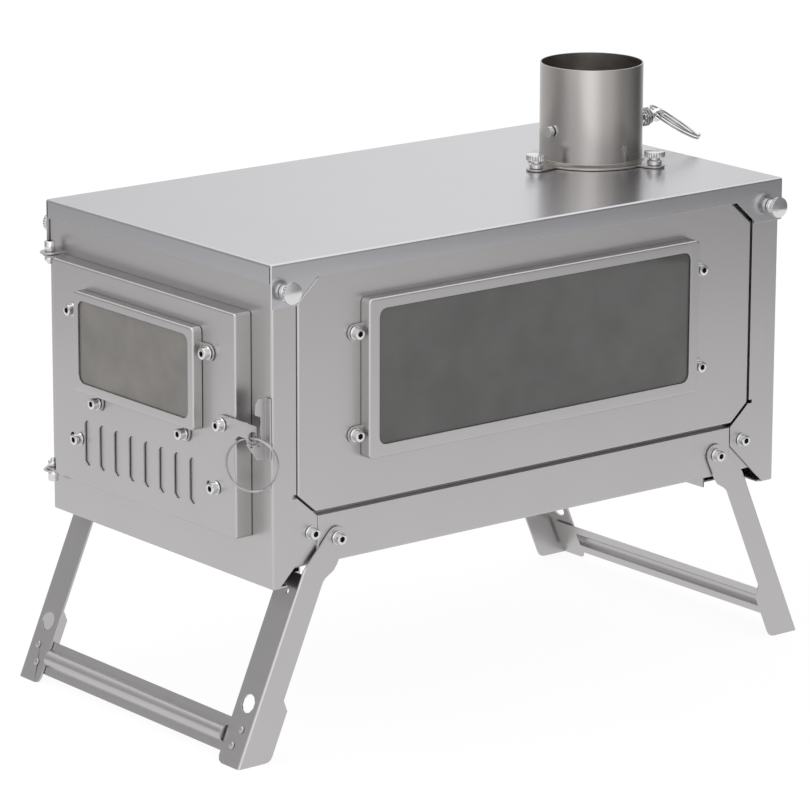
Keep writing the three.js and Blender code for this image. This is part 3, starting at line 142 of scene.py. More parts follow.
class StoveLook(bpy.types.PropertyGroup):
    """Numbers of the stage's light."""
    sky: bpy.props.FloatProperty(
        name="Sky", description="Strength of the sky on the object", min=0, default=0.75)
    horizon: bpy.props.FloatProperty(
        name="Horizon", description="Brightness that metal mirrors from the sides", min=0,
        default=0.95)
    zenith: bpy.props.FloatProperty(
        name="Zenith", description="Brightness that metal mirrors from above", min=0, default=1.5)
    ground: bpy.props.FloatProperty(
        name="Ground", description="Brightness that metal mirrors from the floor", min=0,
        default=1.0)
    window: bpy.props.FloatProperty(
        name="Window", description="Brightness of the room's bright side", min=0, default=1.7)
    dark_side: bpy.props.FloatProperty(
        name="Dark side", description="Brightness of the room's darkest side", min=0, default=0.12)
    key: bpy.props.FloatProperty(
        name="Key", description="Power of the large soft lamp", subtype="POWER", min=0,
        default=9.0)
    fill: bpy.props.FloatProperty(
        name="Fill", description="Power of the fill lamp", subtype="POWER", min=0, default=3.0)


# ---------- materials ----------
def add(tree, kind, links=None, **settings):
    """Adds a node. Settings are its properties, and links are its inputs' values or sources."""
    made = tree.nodes.new(kind)
    for key, value in settings.items():
        setattr(made, key, value)
    for key, value in (links or {}).items():
        if isinstance(value, bpy.types.NodeSocket):
            tree.links.new(value, made.inputs[key])
        else:
            made.inputs[key].default_value = value
    return made


def start_material(name):
    """An empty node material with its output, or None if it has been made before."""
    if name in bpy.data.materials:
        return bpy.data.materials[name], None
    material = bpy.data.materials.new(name)
    material.use_nodes = True
    material.node_tree.nodes.clear()
    return material, material.node_tree


def per_mm(size):
    """Noise scale on Object coordinates for a pattern whose features are this many millimetres."""
    return 1 / (size * MM)


def rgba(values, factor=1.0):
    return (*[min(v * factor, 1.0) for v in values], 1.0)


def metal_sheet(name, tone, roughness, grain, cloud, along, gloss_grain):
    """Rolled sheet: fine lines along the rolling direction and broad, faint clouds."""
    material, tree = start_material(name)
    if tree is None:
        return material
    place = add(tree, "ShaderNodeTexCoord").outputs["Object"]
    # Rolling lines are 0.05 mm apart. They are drawn 0.5 mm wide and about 17 mm long, so that
    # they show, and so are the 1.1 mm specks, which stand for dust and fingermarks.
    stretch = add(tree, "ShaderNodeMapping", {"Vector": place, "Scale": along})
    lines = add(tree, "ShaderNodeTexNoise", {
        "Vector": stretch.outputs["Vector"], "Scale": per_mm(0.5), "Detail": 3.0,
        "Roughness": 0.6})
    clouds = add(tree, "ShaderNodeTexNoise", {
        "Vector": place, "Scale": per_mm(55), "Detail": 2.0, "Roughness": 0.5})
    specks = add(tree, "ShaderNodeTexNoise", {
        "Vector": place, "Scale": per_mm(1.1), "Detail": 2.0, "Roughness": 0.7})
    blend = add(tree, "ShaderNodeMath", {0: lines.outputs["Fac"], 1: specks.outputs["Fac"]},
                operation="ADD")
    tint = add(tree, "ShaderNodeMapRange", {
        "Value": blend.outputs[0], "From Min": 0.7, "From Max": 1.3,
        "To Min": 1 - grain, "To Max": 1 + grain})
    shade = add(tree, "ShaderNodeMapRange", {
        "Value": clouds.outputs["Fac"], "From Min": 0.3, "From Max": 0.7,
        "To Min": 1 - cloud, "To Max": 1 + cloud})
    both = add(tree, "ShaderNodeMath", {0: tint.outputs[0], 1: shade.outputs[0]},
               operation="MULTIPLY")
    base = add(tree, "ShaderNodeVectorMath", {0: tone, "Scale": both.outputs[0]},
               operation="SCALE")
    gloss = add(tree, "ShaderNodeMapRange", {
        "Value": blend.outputs[0], "From Min": 0.7, "From Max": 1.3,
        "To Min": roughness - gloss_grain, "To Max": roughness + gloss_grain})
    surface = add(tree, "ShaderNodeBsdfPrincipled", {
        "Base Color": base.outputs[0], "Metallic": 1.0, "Roughness": gloss.outputs[0]})
    add(tree, "ShaderNodeOutputMaterial", {"Surface": surface.outputs[0]})
    return material


def satin_sheet():
    """Rolled stainless sheet, satin: light grey, soft reflections, a faint horizontal grain."""
    tone = bpy.context.scene.stove_finishes.sheet
    return metal_sheet("satin_rolled_sheet", tone, 0.34, 0.014, 0.012, (0.03, 0.03, 1.0), 0.03)


def lid_sheet():
    """The same sheet with a finer finish, smooth enough for the flue to show in it; its brighter,
    cooler tone is painted skylight.
    """
    tone = bpy.context.scene.stove_finishes.lid
    return metal_sheet("satin_lid_sheet", tone, 0.25, 0.008, 0.01, (1.0, 0.03, 1.0), 0.015)


def flue_tube():
    """Drawn and polished tube: tight reflections that run down it, and faint drawing lines."""
    tone = bpy.context.scene.stove_finishes.tube
    return metal_sheet("polished_flue_tube", tone, 0.25, 0.008, 0.015, (0.03, 0.03, 1.0), 0.015)


def grate_sheet():
    """Plain hot-rolled sheet inside the firebox: darker and duller than the outside."""
    tone = bpy.context.scene.stove_finishes.grate
    return metal_sheet("plain_grate_sheet", tone, 0.5, 0.08, 0.05, (0.04, 1.0, 1.0), 0.05)


def bright_plate():
    """Nickel-plated steel hardware: near-mirror, with 3 mm smudges of handling in the gloss."""
    material, tree = start_material("bright_nickel_plate")
    if tree is None:
        return material
    place = add(tree, "ShaderNodeTexCoord").outputs["Object"]
    smudge = add(tree, "ShaderNodeTexNoise", {
        "Vector": place, "Scale": per_mm(3), "Detail": 2.0, "Roughness": 0.5})
    gloss = add(tree, "ShaderNodeMapRange", {
        "Value": smudge.outputs["Fac"], "From Min": 0.3, "From Max": 0.7,
        "To Min": 0.1, "To Max": 0.2})
    tone = rgba(bpy.context.scene.stove_finishes.hardware)
    surface = add(tree, "ShaderNodeBsdfPrincipled", {
        "Base Color": tone, "Metallic": 1.0, "Roughness": gloss.outputs[0]})
    add(tree, "ShaderNodeOutputMaterial", {"Surface": surface.outputs[0]})
    return material


def polished_wire():
    """Drawn and polished stainless wire: a mirror, so thin bright lines beside dark ones."""
    material, tree = start_material("polished_spring_wire")
    if tree is None:
        return material
    place = add(tree, "ShaderNodeTexCoord").outputs["Object"]
    # Drawing marks are under 0.1 mm. They are drawn 1.5 mm long, so that the gloss varies.
    drawing = add(tree, "ShaderNodeTexNoise", {
        "Vector": place, "Scale": per_mm(1.5), "Detail": 2.0, "Roughness": 0.5})
    gloss = add(tree, "ShaderNodeMapRange", {
        "Value": drawing.outputs["Fac"], "From Min": 0.3, "From Max": 0.7,
        "To Min": 0.04, "To Max": 0.09})
    tone = rgba(bpy.context.scene.stove_finishes.wire)
    surface = add(tree, "ShaderNodeBsdfPrincipled", {
        "Base Color": tone, "Metallic": 1.0, "Roughness": gloss.outputs[0]})
    add(tree, "ShaderNodeOutputMaterial", {"Surface": surface.outputs[0]})
    return material


def socket_shade():
    """Unplated steel at the bottom of a socket, with dirt in it and painted shade of the recess:
    dark and dull.
    """
    material, tree = start_material("socket_dirt_and_painted_shade")
    if tree is None:
        return material
    place = add(tree, "ShaderNodeTexCoord").outputs["Object"]
    dirt = add(tree, "ShaderNodeTexNoise", {"Vector": place, "Scale": per_mm(0.8), "Detail": 3.0})
    gloss = add(tree, "ShaderNodeMapRange", {
        "Value": dirt.outputs["Fac"], "To Min": 0.4, "To Max": 0.7})
    # The socket's dark tone is painted shade of the recess, together with dirt.
    tone = rgba(bpy.context.scene.stove_finishes.socket)
    surface = add(tree, "ShaderNodeBsdfPrincipled", {
        "Base Color": tone, "Metallic": 0.6, "Roughness": gloss.outputs[0]})
    add(tree, "ShaderNodeOutputMaterial", {"Surface": surface.outputs[0]})
    return material


def stove_glass(name, tone):
    """Fire-polished glass ceramic, hardly see-through: its grey is painted shade of the dark
    firebox behind it, and its reflections are sharp.
    """
    material, tree = start_material(name)
    if tree is None:
        return material
    place = add(tree, "ShaderNodeTexCoord").outputs["Object"]
    pane_noise = add(tree, "ShaderNodeTexNoise", {
        "Vector": place, "Scale": per_mm(25), "Detail": 2.0, "Roughness": 0.6})
    gloss = add(tree, "ShaderNodeMapRange", {
        "Value": pane_noise.outputs["Fac"], "From Min": 0.3, "From Max": 0.7,
        "To Min": 0.02, "To Max": 0.07})
    # The grey base, painted shade of the firebox, is varied a little by the noise.
    shade_spread = add(tree, "ShaderNodeMapRange", {
        "Value": pane_noise.outputs["Fac"], "From Min": 0.3, "From Max": 0.7,
        "To Min": 0.88, "To Max": 1.12})
    base = add(tree, "ShaderNodeVectorMath", {0: tone, "Scale": shade_spread.outputs[0]},
               operation="SCALE")
    surface = add(tree, "ShaderNodeBsdfPrincipled", {
        "Base Color": base.outputs[0], "Roughness": gloss.outputs[0], "IOR": 1.52,
        "Transmission Weight": 0.3})
    add(tree, "ShaderNodeOutputMaterial", {"Surface": surface.outputs[0]})
    return material


def woven_fibre():
    """Flat braided glass fibre: dull, with a 1.2 mm weave."""
    material, tree = start_material("braided_glass_fibre")
    if tree is None:
        return material
    place = add(tree, "ShaderNodeTexCoord").outputs["Object"]
    turn = add(tree, "ShaderNodeMapping", {"Vector": place, "Rotation": (math.pi / 4, 0, 0)})
    weave = add(tree, "ShaderNodeTexBrick", {
        "Vector": turn.outputs["Vector"], "Scale": per_mm(1.2),
        "Color1": rgba(bpy.context.scene.stove_finishes.fibre),
        "Color2": rgba(bpy.context.scene.stove_finishes.fibre, 0.8),
        "Mortar": rgba(bpy.context.scene.stove_finishes.fibre, 0.4)})
    bump = add(tree, "ShaderNodeBump", {
        "Height": weave.outputs["Fac"], "Strength": 0.6, "Distance": 0.3 * MM})
    surface = add(tree, "ShaderNodeBsdfPrincipled", {
        "Base Color": weave.outputs["Color"], "Roughness": 0.9, "Normal": bump.outputs[0]})
    add(tree, "ShaderNodeOutputMaterial", {"Surface": surface.outputs[0]})
    return material


# ---------- modelling ----------
WELD = 0.002 * MM         # corners of a CAD mesh that are nearer than this are one corner
FLAT_ANGLE = math.radians(0.5)      # faces that meet at less are one flat face
CUT_EDGE_ANGLE = math.radians(50)   # edges that are sharper get the rounding of a cut edge
BEND_ANGLE = math.radians(38)       # edges that are blunter are shaded smooth
TURNED_ANGLE = math.radians(35)     # the same on turned fasteners
KNURL_ANGLE = math.radians(28)      # the same on a knurled rim
WIRE_ANGLE = math.radians(50)       # the same on wire


def deselect():
    if bpy.context.object and bpy.context.object.mode != "OBJECT":
        bpy.ops.object.mode_set(mode="OBJECT")
    bpy.ops.object.select_all(action="DESELECT")


def take(piece):
    """Makes this piece the only one selected."""
    deselect()
    piece.select_set(True)
    bpy.context.view_layer.objects.active = piece


def body_of(node):
    return NODES[node]["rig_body"]


def finish_piece(piece, name, material, body, nodes):
    """Names a piece, gives it its finish unless it has one, and lets it ride for its nodes."""
    piece.name = name
    piece.data.name = name
    if len(piece.data.materials) == 0:
        piece.data.materials.append(material)
    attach(piece, body)
    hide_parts(*nodes)


def flatten(piece):
    """Lets the large faces set the shading, so that sheets look flat between their bends."""
    weighing = piece.modifiers.new("flat_faces", "WEIGHTED_NORMAL")
    weighing.mode = "FACE_AREA"
    weighing.weight = 50
    weighing.keep_sharp = True
    bpy.ops.object.modifier_apply(modifier=weighing.name)


def sheet_piece(node, name, material, edge):
    """A finer copy of a CAD sheet: flat faces joined, cut edges rounded, bends shaded smooth."""
    piece = bpy.data.objects.new(name, NODES[node].data.copy())
    bpy.context.scene.collection.objects.link(piece)
    piece.data.materials.clear()
    take(piece)
    bpy.ops.object.mode_set(mode="EDIT")
    bpy.ops.mesh.select_all(action="SELECT")
    bpy.ops.mesh.remove_doubles(threshold=WELD)
    bpy.ops.mesh.dissolve_limited(angle_limit=FLAT_ANGLE)
    bpy.ops.object.mode_set(mode="OBJECT")
    if edge > 0:
        rounding = piece.modifiers.new("cut_edges", "BEVEL")
        rounding.width = edge
        rounding.segments = 2
        rounding.limit_method = "ANGLE"
        rounding.angle_limit = CUT_EDGE_ANGLE
        rounding.use_clamp_overlap = False
        rounding.miter_outer = "MITER_ARC"
        bpy.ops.object.modifier_apply(modifier=rounding.name)
    bpy.ops.object.shade_smooth_by_angle(angle=BEND_ANGLE)
    flatten(piece)
    finish_piece(piece, name, material, body_of(node), [node])


def turned_piece(profile, sides):
    """Turns a solid on Z from (radius, height) steps, foot first, by extruding its top."""
    (radius, height), *steps = profile
    deselect()
    bpy.ops.mesh.primitive_circle_add(
        vertices=sides, radius=radius, fill_type="NGON", location=(0, 0, height))
    piece = bpy.context.object
    bpy.ops.object.transform_apply(location=True, rotation=True, scale=True)
    bpy.ops.object.mode_set(mode="EDIT")
    bpy.ops.mesh.select_all(action="SELECT")
    for next_radius, next_height in steps:
        bpy.ops.mesh.extrude_region_move(
            TRANSFORM_OT_translate={"value": (0, 0, next_height - height)})
        scale = next_radius / radius
        bpy.ops.transform.resize(value=(scale, scale, 1), center_override=(0, 0, next_height))
        radius, height = next_radius, next_height
    bpy.ops.mesh.select_all(action="SELECT")
    bpy.ops.mesh.normals_make_consistent(inside=False)
    bpy.ops.object.mode_set(mode="OBJECT")
    return piece


def cut(piece, cutter):
    """Cuts one solid out of another and removes the cutter."""
    take(piece)
    tool = piece.modifiers.new("cut", "BOOLEAN")
    tool.operation = "DIFFERENCE"
    tool.solver = "EXACT"
    tool.object = cutter
    bpy.ops.object.modifier_apply(modifier=tool.name)
    bpy.data.objects.remove(cutter)


FACING = {
    "+X": Matrix(((0, 0, 1), (1, 0, 0), (0, 1, 0))),
    "-X": Matrix(((0, 0, -1), (-1, 0, 0), (0, 1, 0))),
    "-Y": Matrix(((1, 0, 0), (0, 0, -1), (0, 1, 0))),
    "+Z": Matrix.Identity(3),
    "-Z": Matrix(((1, 0, 0), (0, -1, 0), (0, 0, -1))),
}


def copy_to(master, facing, head_at):
    """A copy of a piece modelled along Z with its top at 0, with that top set at a place."""
    piece = master.copy()
    piece.data = master.data.copy()
    bpy.context.scene.collection.objects.link(piece)
    place = Matrix.Translation(head_at) @ FACING[facing].to_4x4()
    piece.data.transform(place)
    return piece


def head_place(node, facing):
    """The middle of the end that a fastener shows, and its length, both from its CAD node."""
    low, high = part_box(node)
    axis = "XYZ".index(facing[1])
    place = (low + high) / 2
    place[axis] = high[axis] if facing[0] == "+" else low[axis]
    return place, high[axis] - low[axis]


def socket_cut(piece, radius, depth):
    """Sinks a hexagon socket into a turned head, and gives its walls the dark finish of dirt and
    painted shade.
    """
    bpy.ops.mesh.primitive_cylinder_add(
        vertices=6, radius=radius, depth=depth * 2, location=(0, 0, 0))
    key = bpy.context.object
    for solid in (piece, key):
        solid.data.materials.append(bright_plate())
        solid.data.materials.append(socket_shade())
    for face in key.data.polygons:
        face.material_index = 1
    cut(piece, key)
    bpy.ops.object.shade_smooth_by_angle(angle=TURNED_ANGLE)


def set_fasteners(facings, model):
    """Models one fastener for each length, and sets a copy of it in place of every CAD node."""
    masters = {}
    for node, facing in facings.items():
        place, reach = head_place(node, facing)
        size = round(reach / MM, 2)
        if size not in masters:
            masters[size] = model(reach)
        piece = copy_to(masters[size], facing, place)
        finish_piece(piece, f"{node}_turned", None, body_of(node), [node])
    for master in masters.values():
        bpy.data.objects.remove(master)


# Where each fastener's head faces.
SOCKET_SCREWS = {
    **{f"side_window_screw_{i}": "+X" for i in (1, 2, 3, 4)},
    **{f"door_window_screw_{i}": "-Y" for i in (1, 2, 3, 4)},
    **{f"air_slide_screw_{i}": "-Y" for i in (1, 2)},
    "latch_screw": "-Y",
    **{f"corner_screw_{end}_{side}": "+X" if side == "right" else "-X"
       for end in ("front", "rear") for side in ("right", "left")},
    **{f"{end}_pivot_screw_{side}": "+X" if side == "right" else "-X"
       for end in ("front", "rear") for side in ("right", "left")},
}
THUMB_SCREWS = {
    **{f"flue_thumbscrew_{i}": "+Z" for i in (1, 2, 3)},
    **{f"lid_thumbscrew_{end}_{side}": "+X" if side == "right" else "-X"
       for end in ("front", "rear") for side in ("right", "left")},
}
HINGE_BOLTS = {"hinge_bolt_upper": "+Z", "hinge_bolt_lower": "-Z"}


def helix_wire(radius, wire, pitch, turns, steps, sides):
    """A wire wound round Z and centred on the origin, its first end at +X, both ends closed."""
    deselect()
    bpy.ops.mesh.primitive_circle_add(
        vertices=sides, radius=wire / 2, location=(0, 0, 0), rotation=(math.pi / 2, 0, 0))
    piece = bpy.context.object
    piece.location = (radius, 0, -pitch * turns / 2)
    bpy.ops.object.transform_apply(location=True, rotation=True, scale=True)
    winding = piece.modifiers.new("winding", "SCREW")
    winding.axis = "Z"
    winding.angle = 2 * math.pi * turns
    winding.screw_offset = pitch * turns
    winding.iterations = 1
    winding.steps = winding.render_steps = round(steps * turns)
    winding.use_smooth_shade = True
    bpy.ops.object.modifier_apply(modifier=winding.name)
    bpy.ops.object.mode_set(mode="EDIT")
    bpy.ops.mesh.select_all(action="DESELECT")
    bpy.ops.mesh.select_non_manifold()
    bpy.ops.mesh.edge_face_add()
    bpy.ops.mesh.select_all(action="SELECT")
    bpy.ops.mesh.normals_make_consistent(inside=False)
    bpy.ops.object.mode_set(mode="OBJECT")
    bpy.ops.object.shade_smooth_by_angle(angle=WIRE_ANGLE)
    return piece


def set_frame(piece, centre, axis, first):
    """Stands a piece modelled on Z along an axis, with its X towards `first`, and applies it."""
    up = Vector(axis).normalized()
    across = Vector(first)
    across = (across - up * across.dot(up)).normalized()
    side = up.cross(across)
    turn = Matrix((across, side, up)).transposed().to_4x4()
    piece.data.transform(Matrix.Translation(Vector(centre)) @ turn)


class STOVE_OT_body(bpy.types.Operator):
    """Sheet pieces of the box: end panels, sides, tray, lid"""
    bl_idname = "stove.body"
    bl_label = "Body sheets"

    def execute(self, context):
        edge = context.scene.stove_sizes.cut_edge
        for node in ("front_panel", "rear_panel", "bottom_tray", "side_panel_right",
                     "side_panel_left", "latch_keeper"):
            sheet_piece(node, f"{node}_sheet", satin_sheet(), edge)
        sheet_piece("lid", "lid_pressing", lid_sheet(), edge)
        return {"FINISHED"}


class STOVE_OT_windows(bpy.types.Operator):
    """Raised window frames, their glass and the seal behind the side glass"""
    bl_idname = "stove.windows"
    bl_label = "Windows"

    PANE_EDGE = 0.3 * MM      # rounding of a pane's ground edge

    def execute(self, context):
        edge = context.scene.stove_sizes.cut_edge
        for node in ("side_window_frame", "door_window_frame"):
            sheet_piece(node, f"{node}_pressing", satin_sheet(), edge)
        tones = context.scene.stove_finishes
        for node, tone in (("side_glass", tones.glass), ("door_glass", tones.door_glass)):
            # Each pane's grey is painted shade of the firebox behind it.
            pane = stove_glass(f"painted_shade_{node}", tone)
            sheet_piece(node, f"{node}_pane", pane, self.PANE_EDGE)
        sheet_piece("side_glass_gasket", "side_glass_braid", woven_fibre(), 0)
        return {"FINISHED"}


class STOVE_OT_door(bpy.types.Operator):
    """Door pressing, its air slide and the latch"""
    bl_idname = "stove.door"
    bl_label = "Door"

    def execute(self, context):
        edge = context.scene.stove_sizes.cut_edge
        for node in ("door", "air_slide", "latch_bar"):
            sheet_piece(node, f"{node}_sheet", satin_sheet(), edge)
        return {"FINISHED"}


class STOVE_OT_legs(bpy.types.Operator):
    """Folding legs and their crossbars"""
    bl_idname = "stove.legs"
    bl_label = "Legs"

    def execute(self, context):
        edge = context.scene.stove_sizes.cut_edge
        for end in ("front", "rear"):
            for part in ("leg_right", "leg_left", "crossbar"):
                node = f"{end}_{part}"
                sheet_piece(node, f"{node}_sheet", satin_sheet(), edge)
        return {"FINISHED"}


class STOVE_OT_flue(bpy.types.Operator):
    """Flue collar, damper plate and axle, and the grate inside"""
    bl_idname = "stove.flue"
    bl_label = "Flue and grate"

    def execute(self, context):
        edge = context.scene.stove_sizes.cut_edge
        sheet_piece("flue_collar", "flue_collar_tube", flue_tube(), edge)
        sheet_piece("damper_plate", "damper_plate_disc", flue_tube(), edge)
        sheet_piece("damper_axle", "damper_axle_rod", bright_plate(), edge)
        sheet_piece("fire_grate", "fire_grate_sheet", grate_sheet(), edge)
        return {"FINISHED"}


class STOVE_OT_socket_screws(bpy.types.Operator):
    """Socket-head screws with washer and nut, one model for each length"""
    bl_idname = "stove.socket_screws"
    bl_label = "Socket-head screws"

    def execute(self, context):
        set_fasteners(SOCKET_SCREWS, self.model)
        return {"FINISHED"}

    def model(self, reach):
        """Nut, shank, washer and head in one profile, with the head's top at 0."""
        sizes = bpy.context.scene.stove_sizes
        head, shank, washer = sizes.head_radius, sizes.shank_radius, sizes.washer_radius
        nut_top = -(reach - sizes.nut)
        seat = -(sizes.head + sizes.washer)
        washer_top = seat + sizes.washer
        soft = 0.35 * MM
        screw = turned_piece([
            (head - soft, -reach), (head, -reach + soft),
            (head, nut_top - soft), (head - soft, nut_top),
            (shank, nut_top), (shank, seat),
            (washer - soft / 2, seat), (washer, seat + soft / 2),
            (washer, washer_top - soft / 2), (washer - soft / 2, washer_top),
            (head - soft / 3, washer_top), (head, washer_top + soft / 3),
            (head, -soft * 1.3), (head - soft * 0.4, -soft * 0.4), (head - soft * 1.3, 0),
        ], sides=28)
        socket_cut(screw, sizes.socket_radius, sizes.socket)
        return screw


class STOVE_OT_thumbscrews(bpy.types.Operator):
    """Thumbscrews with a knurled rim, on the lid's corners and the flue's foot"""
    bl_idname = "stove.thumbscrews"
    bl_label = "Thumbscrews"

    RIM_SIDES = 56       # two to each groove of the knurl
    GROOVE = 0.945       # radius of a groove's bottom, as a share of the rim's
    COLLAR, COLLAR_TOP, WAIST = 4.2 * MM, 3.9 * MM, 3.1 * MM      # radii below the head

    def execute(self, context):
        set_fasteners(THUMB_SCREWS, self.model)
        return {"FINISHED"}

    def model(self, reach):
        """Shank, collar, waist and head in one profile, with the head's top at 0."""
        sizes = bpy.context.scene.stove_sizes
        seat = -(reach - sizes.thumb_grip)
        under = seat + sizes.thumb_neck
        rim, soft = sizes.thumb_radius, 0.4 * MM
        screw = turned_piece([
            (sizes.thumb_shank, -reach), (sizes.thumb_shank, seat),
            (self.COLLAR - 0.2 * MM, seat), (self.COLLAR, seat + 0.2 * MM),
            (self.COLLAR, seat + 2.2 * MM), (self.COLLAR_TOP, seat + 2.6 * MM),
            (self.WAIST, seat + 3.0 * MM), (self.WAIST, under - 0.1 * MM),
            (rim - soft, under), (rim, under + soft), (rim, -soft),
            (rim - soft * 0.4, -soft * 0.3), (rim - soft * 1.4, 0),
        ], sides=self.RIM_SIDES)
        screw.data.materials.append(bright_plate())
        self.knurl(screw, rim, under, soft)
        return screw

    def knurl(self, screw, rim, under, soft):
        """Draws every second edge of the rim inwards."""
        take(screw)
        for corner in screw.data.vertices:
            out = math.hypot(corner.co.x, corner.co.y)
            turn = math.degrees(math.atan2(corner.co.y, corner.co.x)) / (360 / self.RIM_SIDES)
            on_rim = abs(out - rim) < 0.02 * MM and corner.co.z > under + soft / 2
            corner.select = on_rim and round(turn) % 2 == 0
        for face in screw.data.polygons:
            face.select = False
        for edge in screw.data.edges:
            edge.select = False
        bpy.ops.object.mode_set(mode="EDIT")
        bpy.context.tool_settings.mesh_select_mode = (True, False, False)
        bpy.ops.transform.resize(
            value=(self.GROOVE, self.GROOVE, 1), center_override=(0, 0, under))
        bpy.ops.object.mode_set(mode="OBJECT")
        bpy.ops.object.shade_smooth_by_angle(angle=KNURL_ANGLE)


class STOVE_OT_hinge_bolts(bpy.types.Operator):
    """Bolts that the door turns on"""
    bl_idname = "stove.hinge_bolts"
    bl_label = "Hinge bolts"

    SOCKET_RADIUS, SOCKET_DEPTH = 1.6 * MM, 2.0 * MM
    # Radius and height in millimetres above the bolt's end: lock nut, and shank below the head.
    ABOVE_THE_END = ((1.5, -11.5), (2.8, -11.5), (3.0, -11.2), (3.0, -9.2), (2.8, -8.9),
                     (1.5, -8.9), (1.5, -5.7), (2.9, -5.7), (3.0, -5.5), (3.0, -0.5),
                     (2.8, -0.15), (2.4, 0))

    def execute(self, context):
        set_fasteners(HINGE_BOLTS, self.model)
        return {"FINISHED"}

    def model(self, reach):
        """Shank, lock nut and socket head in one profile, with the head's top at 0."""
        end = ((1.3, -reach / MM), (1.5, -reach / MM + 0.3))
        bolt = turned_piece([(r * MM, h * MM) for r, h in end + self.ABOVE_THE_END], sides=24)
        socket_cut(bolt, self.SOCKET_RADIUS, self.SOCKET_DEPTH)
        return bolt


class STOVE_OT_wires(bpy.types.Operator):
    """Split rings of the latch and the damper, and the damper's spring"""
    bl_idname = "stove.wires"
    bl_label = "Rings and spring"

    RING_TURNS = 1.9                         # a split ring's ends overlap nearly all the way
    LATCH_RING_EYE = (96.5, -190, 179.8)     # top of the latch ring, in the bar's hole
    LATCH_RING_TURN = math.radians(34)       # from the door's plane
    LATCH_RING_PITCH = 1.4 * MM
    AXLE_MIDDLE = (-2.5, 130.2, 294.1)       # where the damper's axle crosses the flue's middle
    AXLE_TURN = math.radians(20)             # of the damper as photographed
    AXLE_EYE = 51.5 * MM                     # from the flue's middle to the ring's eye
    DAMPER_RING_DROP = math.radians(25)      # below the axle's line
    DAMPER_RING_PITCH = 1.75 * MM
    SPRING_TURNS = 6

    def execute(self, context):
        sizes = context.scene.stove_sizes
        self.latch_ring(sizes)
        self.damper_ring(sizes)
        self.spring(sizes)
        return {"FINISHED"}

    def latch_ring(self, sizes):
        turn = self.LATCH_RING_TURN
        centre = at(*self.LATCH_RING_EYE) - Vector((0, 0, sizes.latch_ring))
        first = (math.cos(turn), math.sin(turn), -0.9)      # the wire's end, low on the right
        ring = helix_wire(sizes.latch_ring, sizes.latch_wire, self.LATCH_RING_PITCH,
                          self.RING_TURNS, steps=96, sides=14)
        self.place(ring, "latch_ring", centre, (-math.sin(turn), math.cos(turn), 0), first)

    def damper_ring(self, sizes):
        spin = Matrix.Rotation(self.AXLE_TURN, 3, "Y")
        drop = self.DAMPER_RING_DROP
        out = Vector((0, math.cos(drop), -math.sin(drop)))
        centre = at(*self.AXLE_MIDDLE) + spin @ (
            Vector((0, self.AXLE_EYE, 0)) + out * sizes.damper_ring)
        axis = spin @ Vector((0, math.sin(drop), math.cos(drop)))
        ring = helix_wire(sizes.damper_ring, sizes.damper_wire, self.DAMPER_RING_PITCH,
                          self.RING_TURNS, steps=96, sides=14)
        self.place(ring, "damper_ring", centre, axis, spin @ out)

    def spring(self, sizes):
        low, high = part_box("damper_spring")
        pitch = (high.y - low.y - sizes.spring_wire) / self.SPRING_TURNS
        spring = helix_wire(sizes.spring, sizes.spring_wire, pitch, self.SPRING_TURNS,
                            steps=40, sides=12)
        self.place(spring, "damper_spring", (low + high) / 2, (0, 1, 0), (0, 0, 1))

    def place(self, wire, node, centre, axis, first):
        set_frame(wire, centre, axis, first)
        finish_piece(
            wire, f"{node}_wire", polished_wire(), body_of(node), [node])


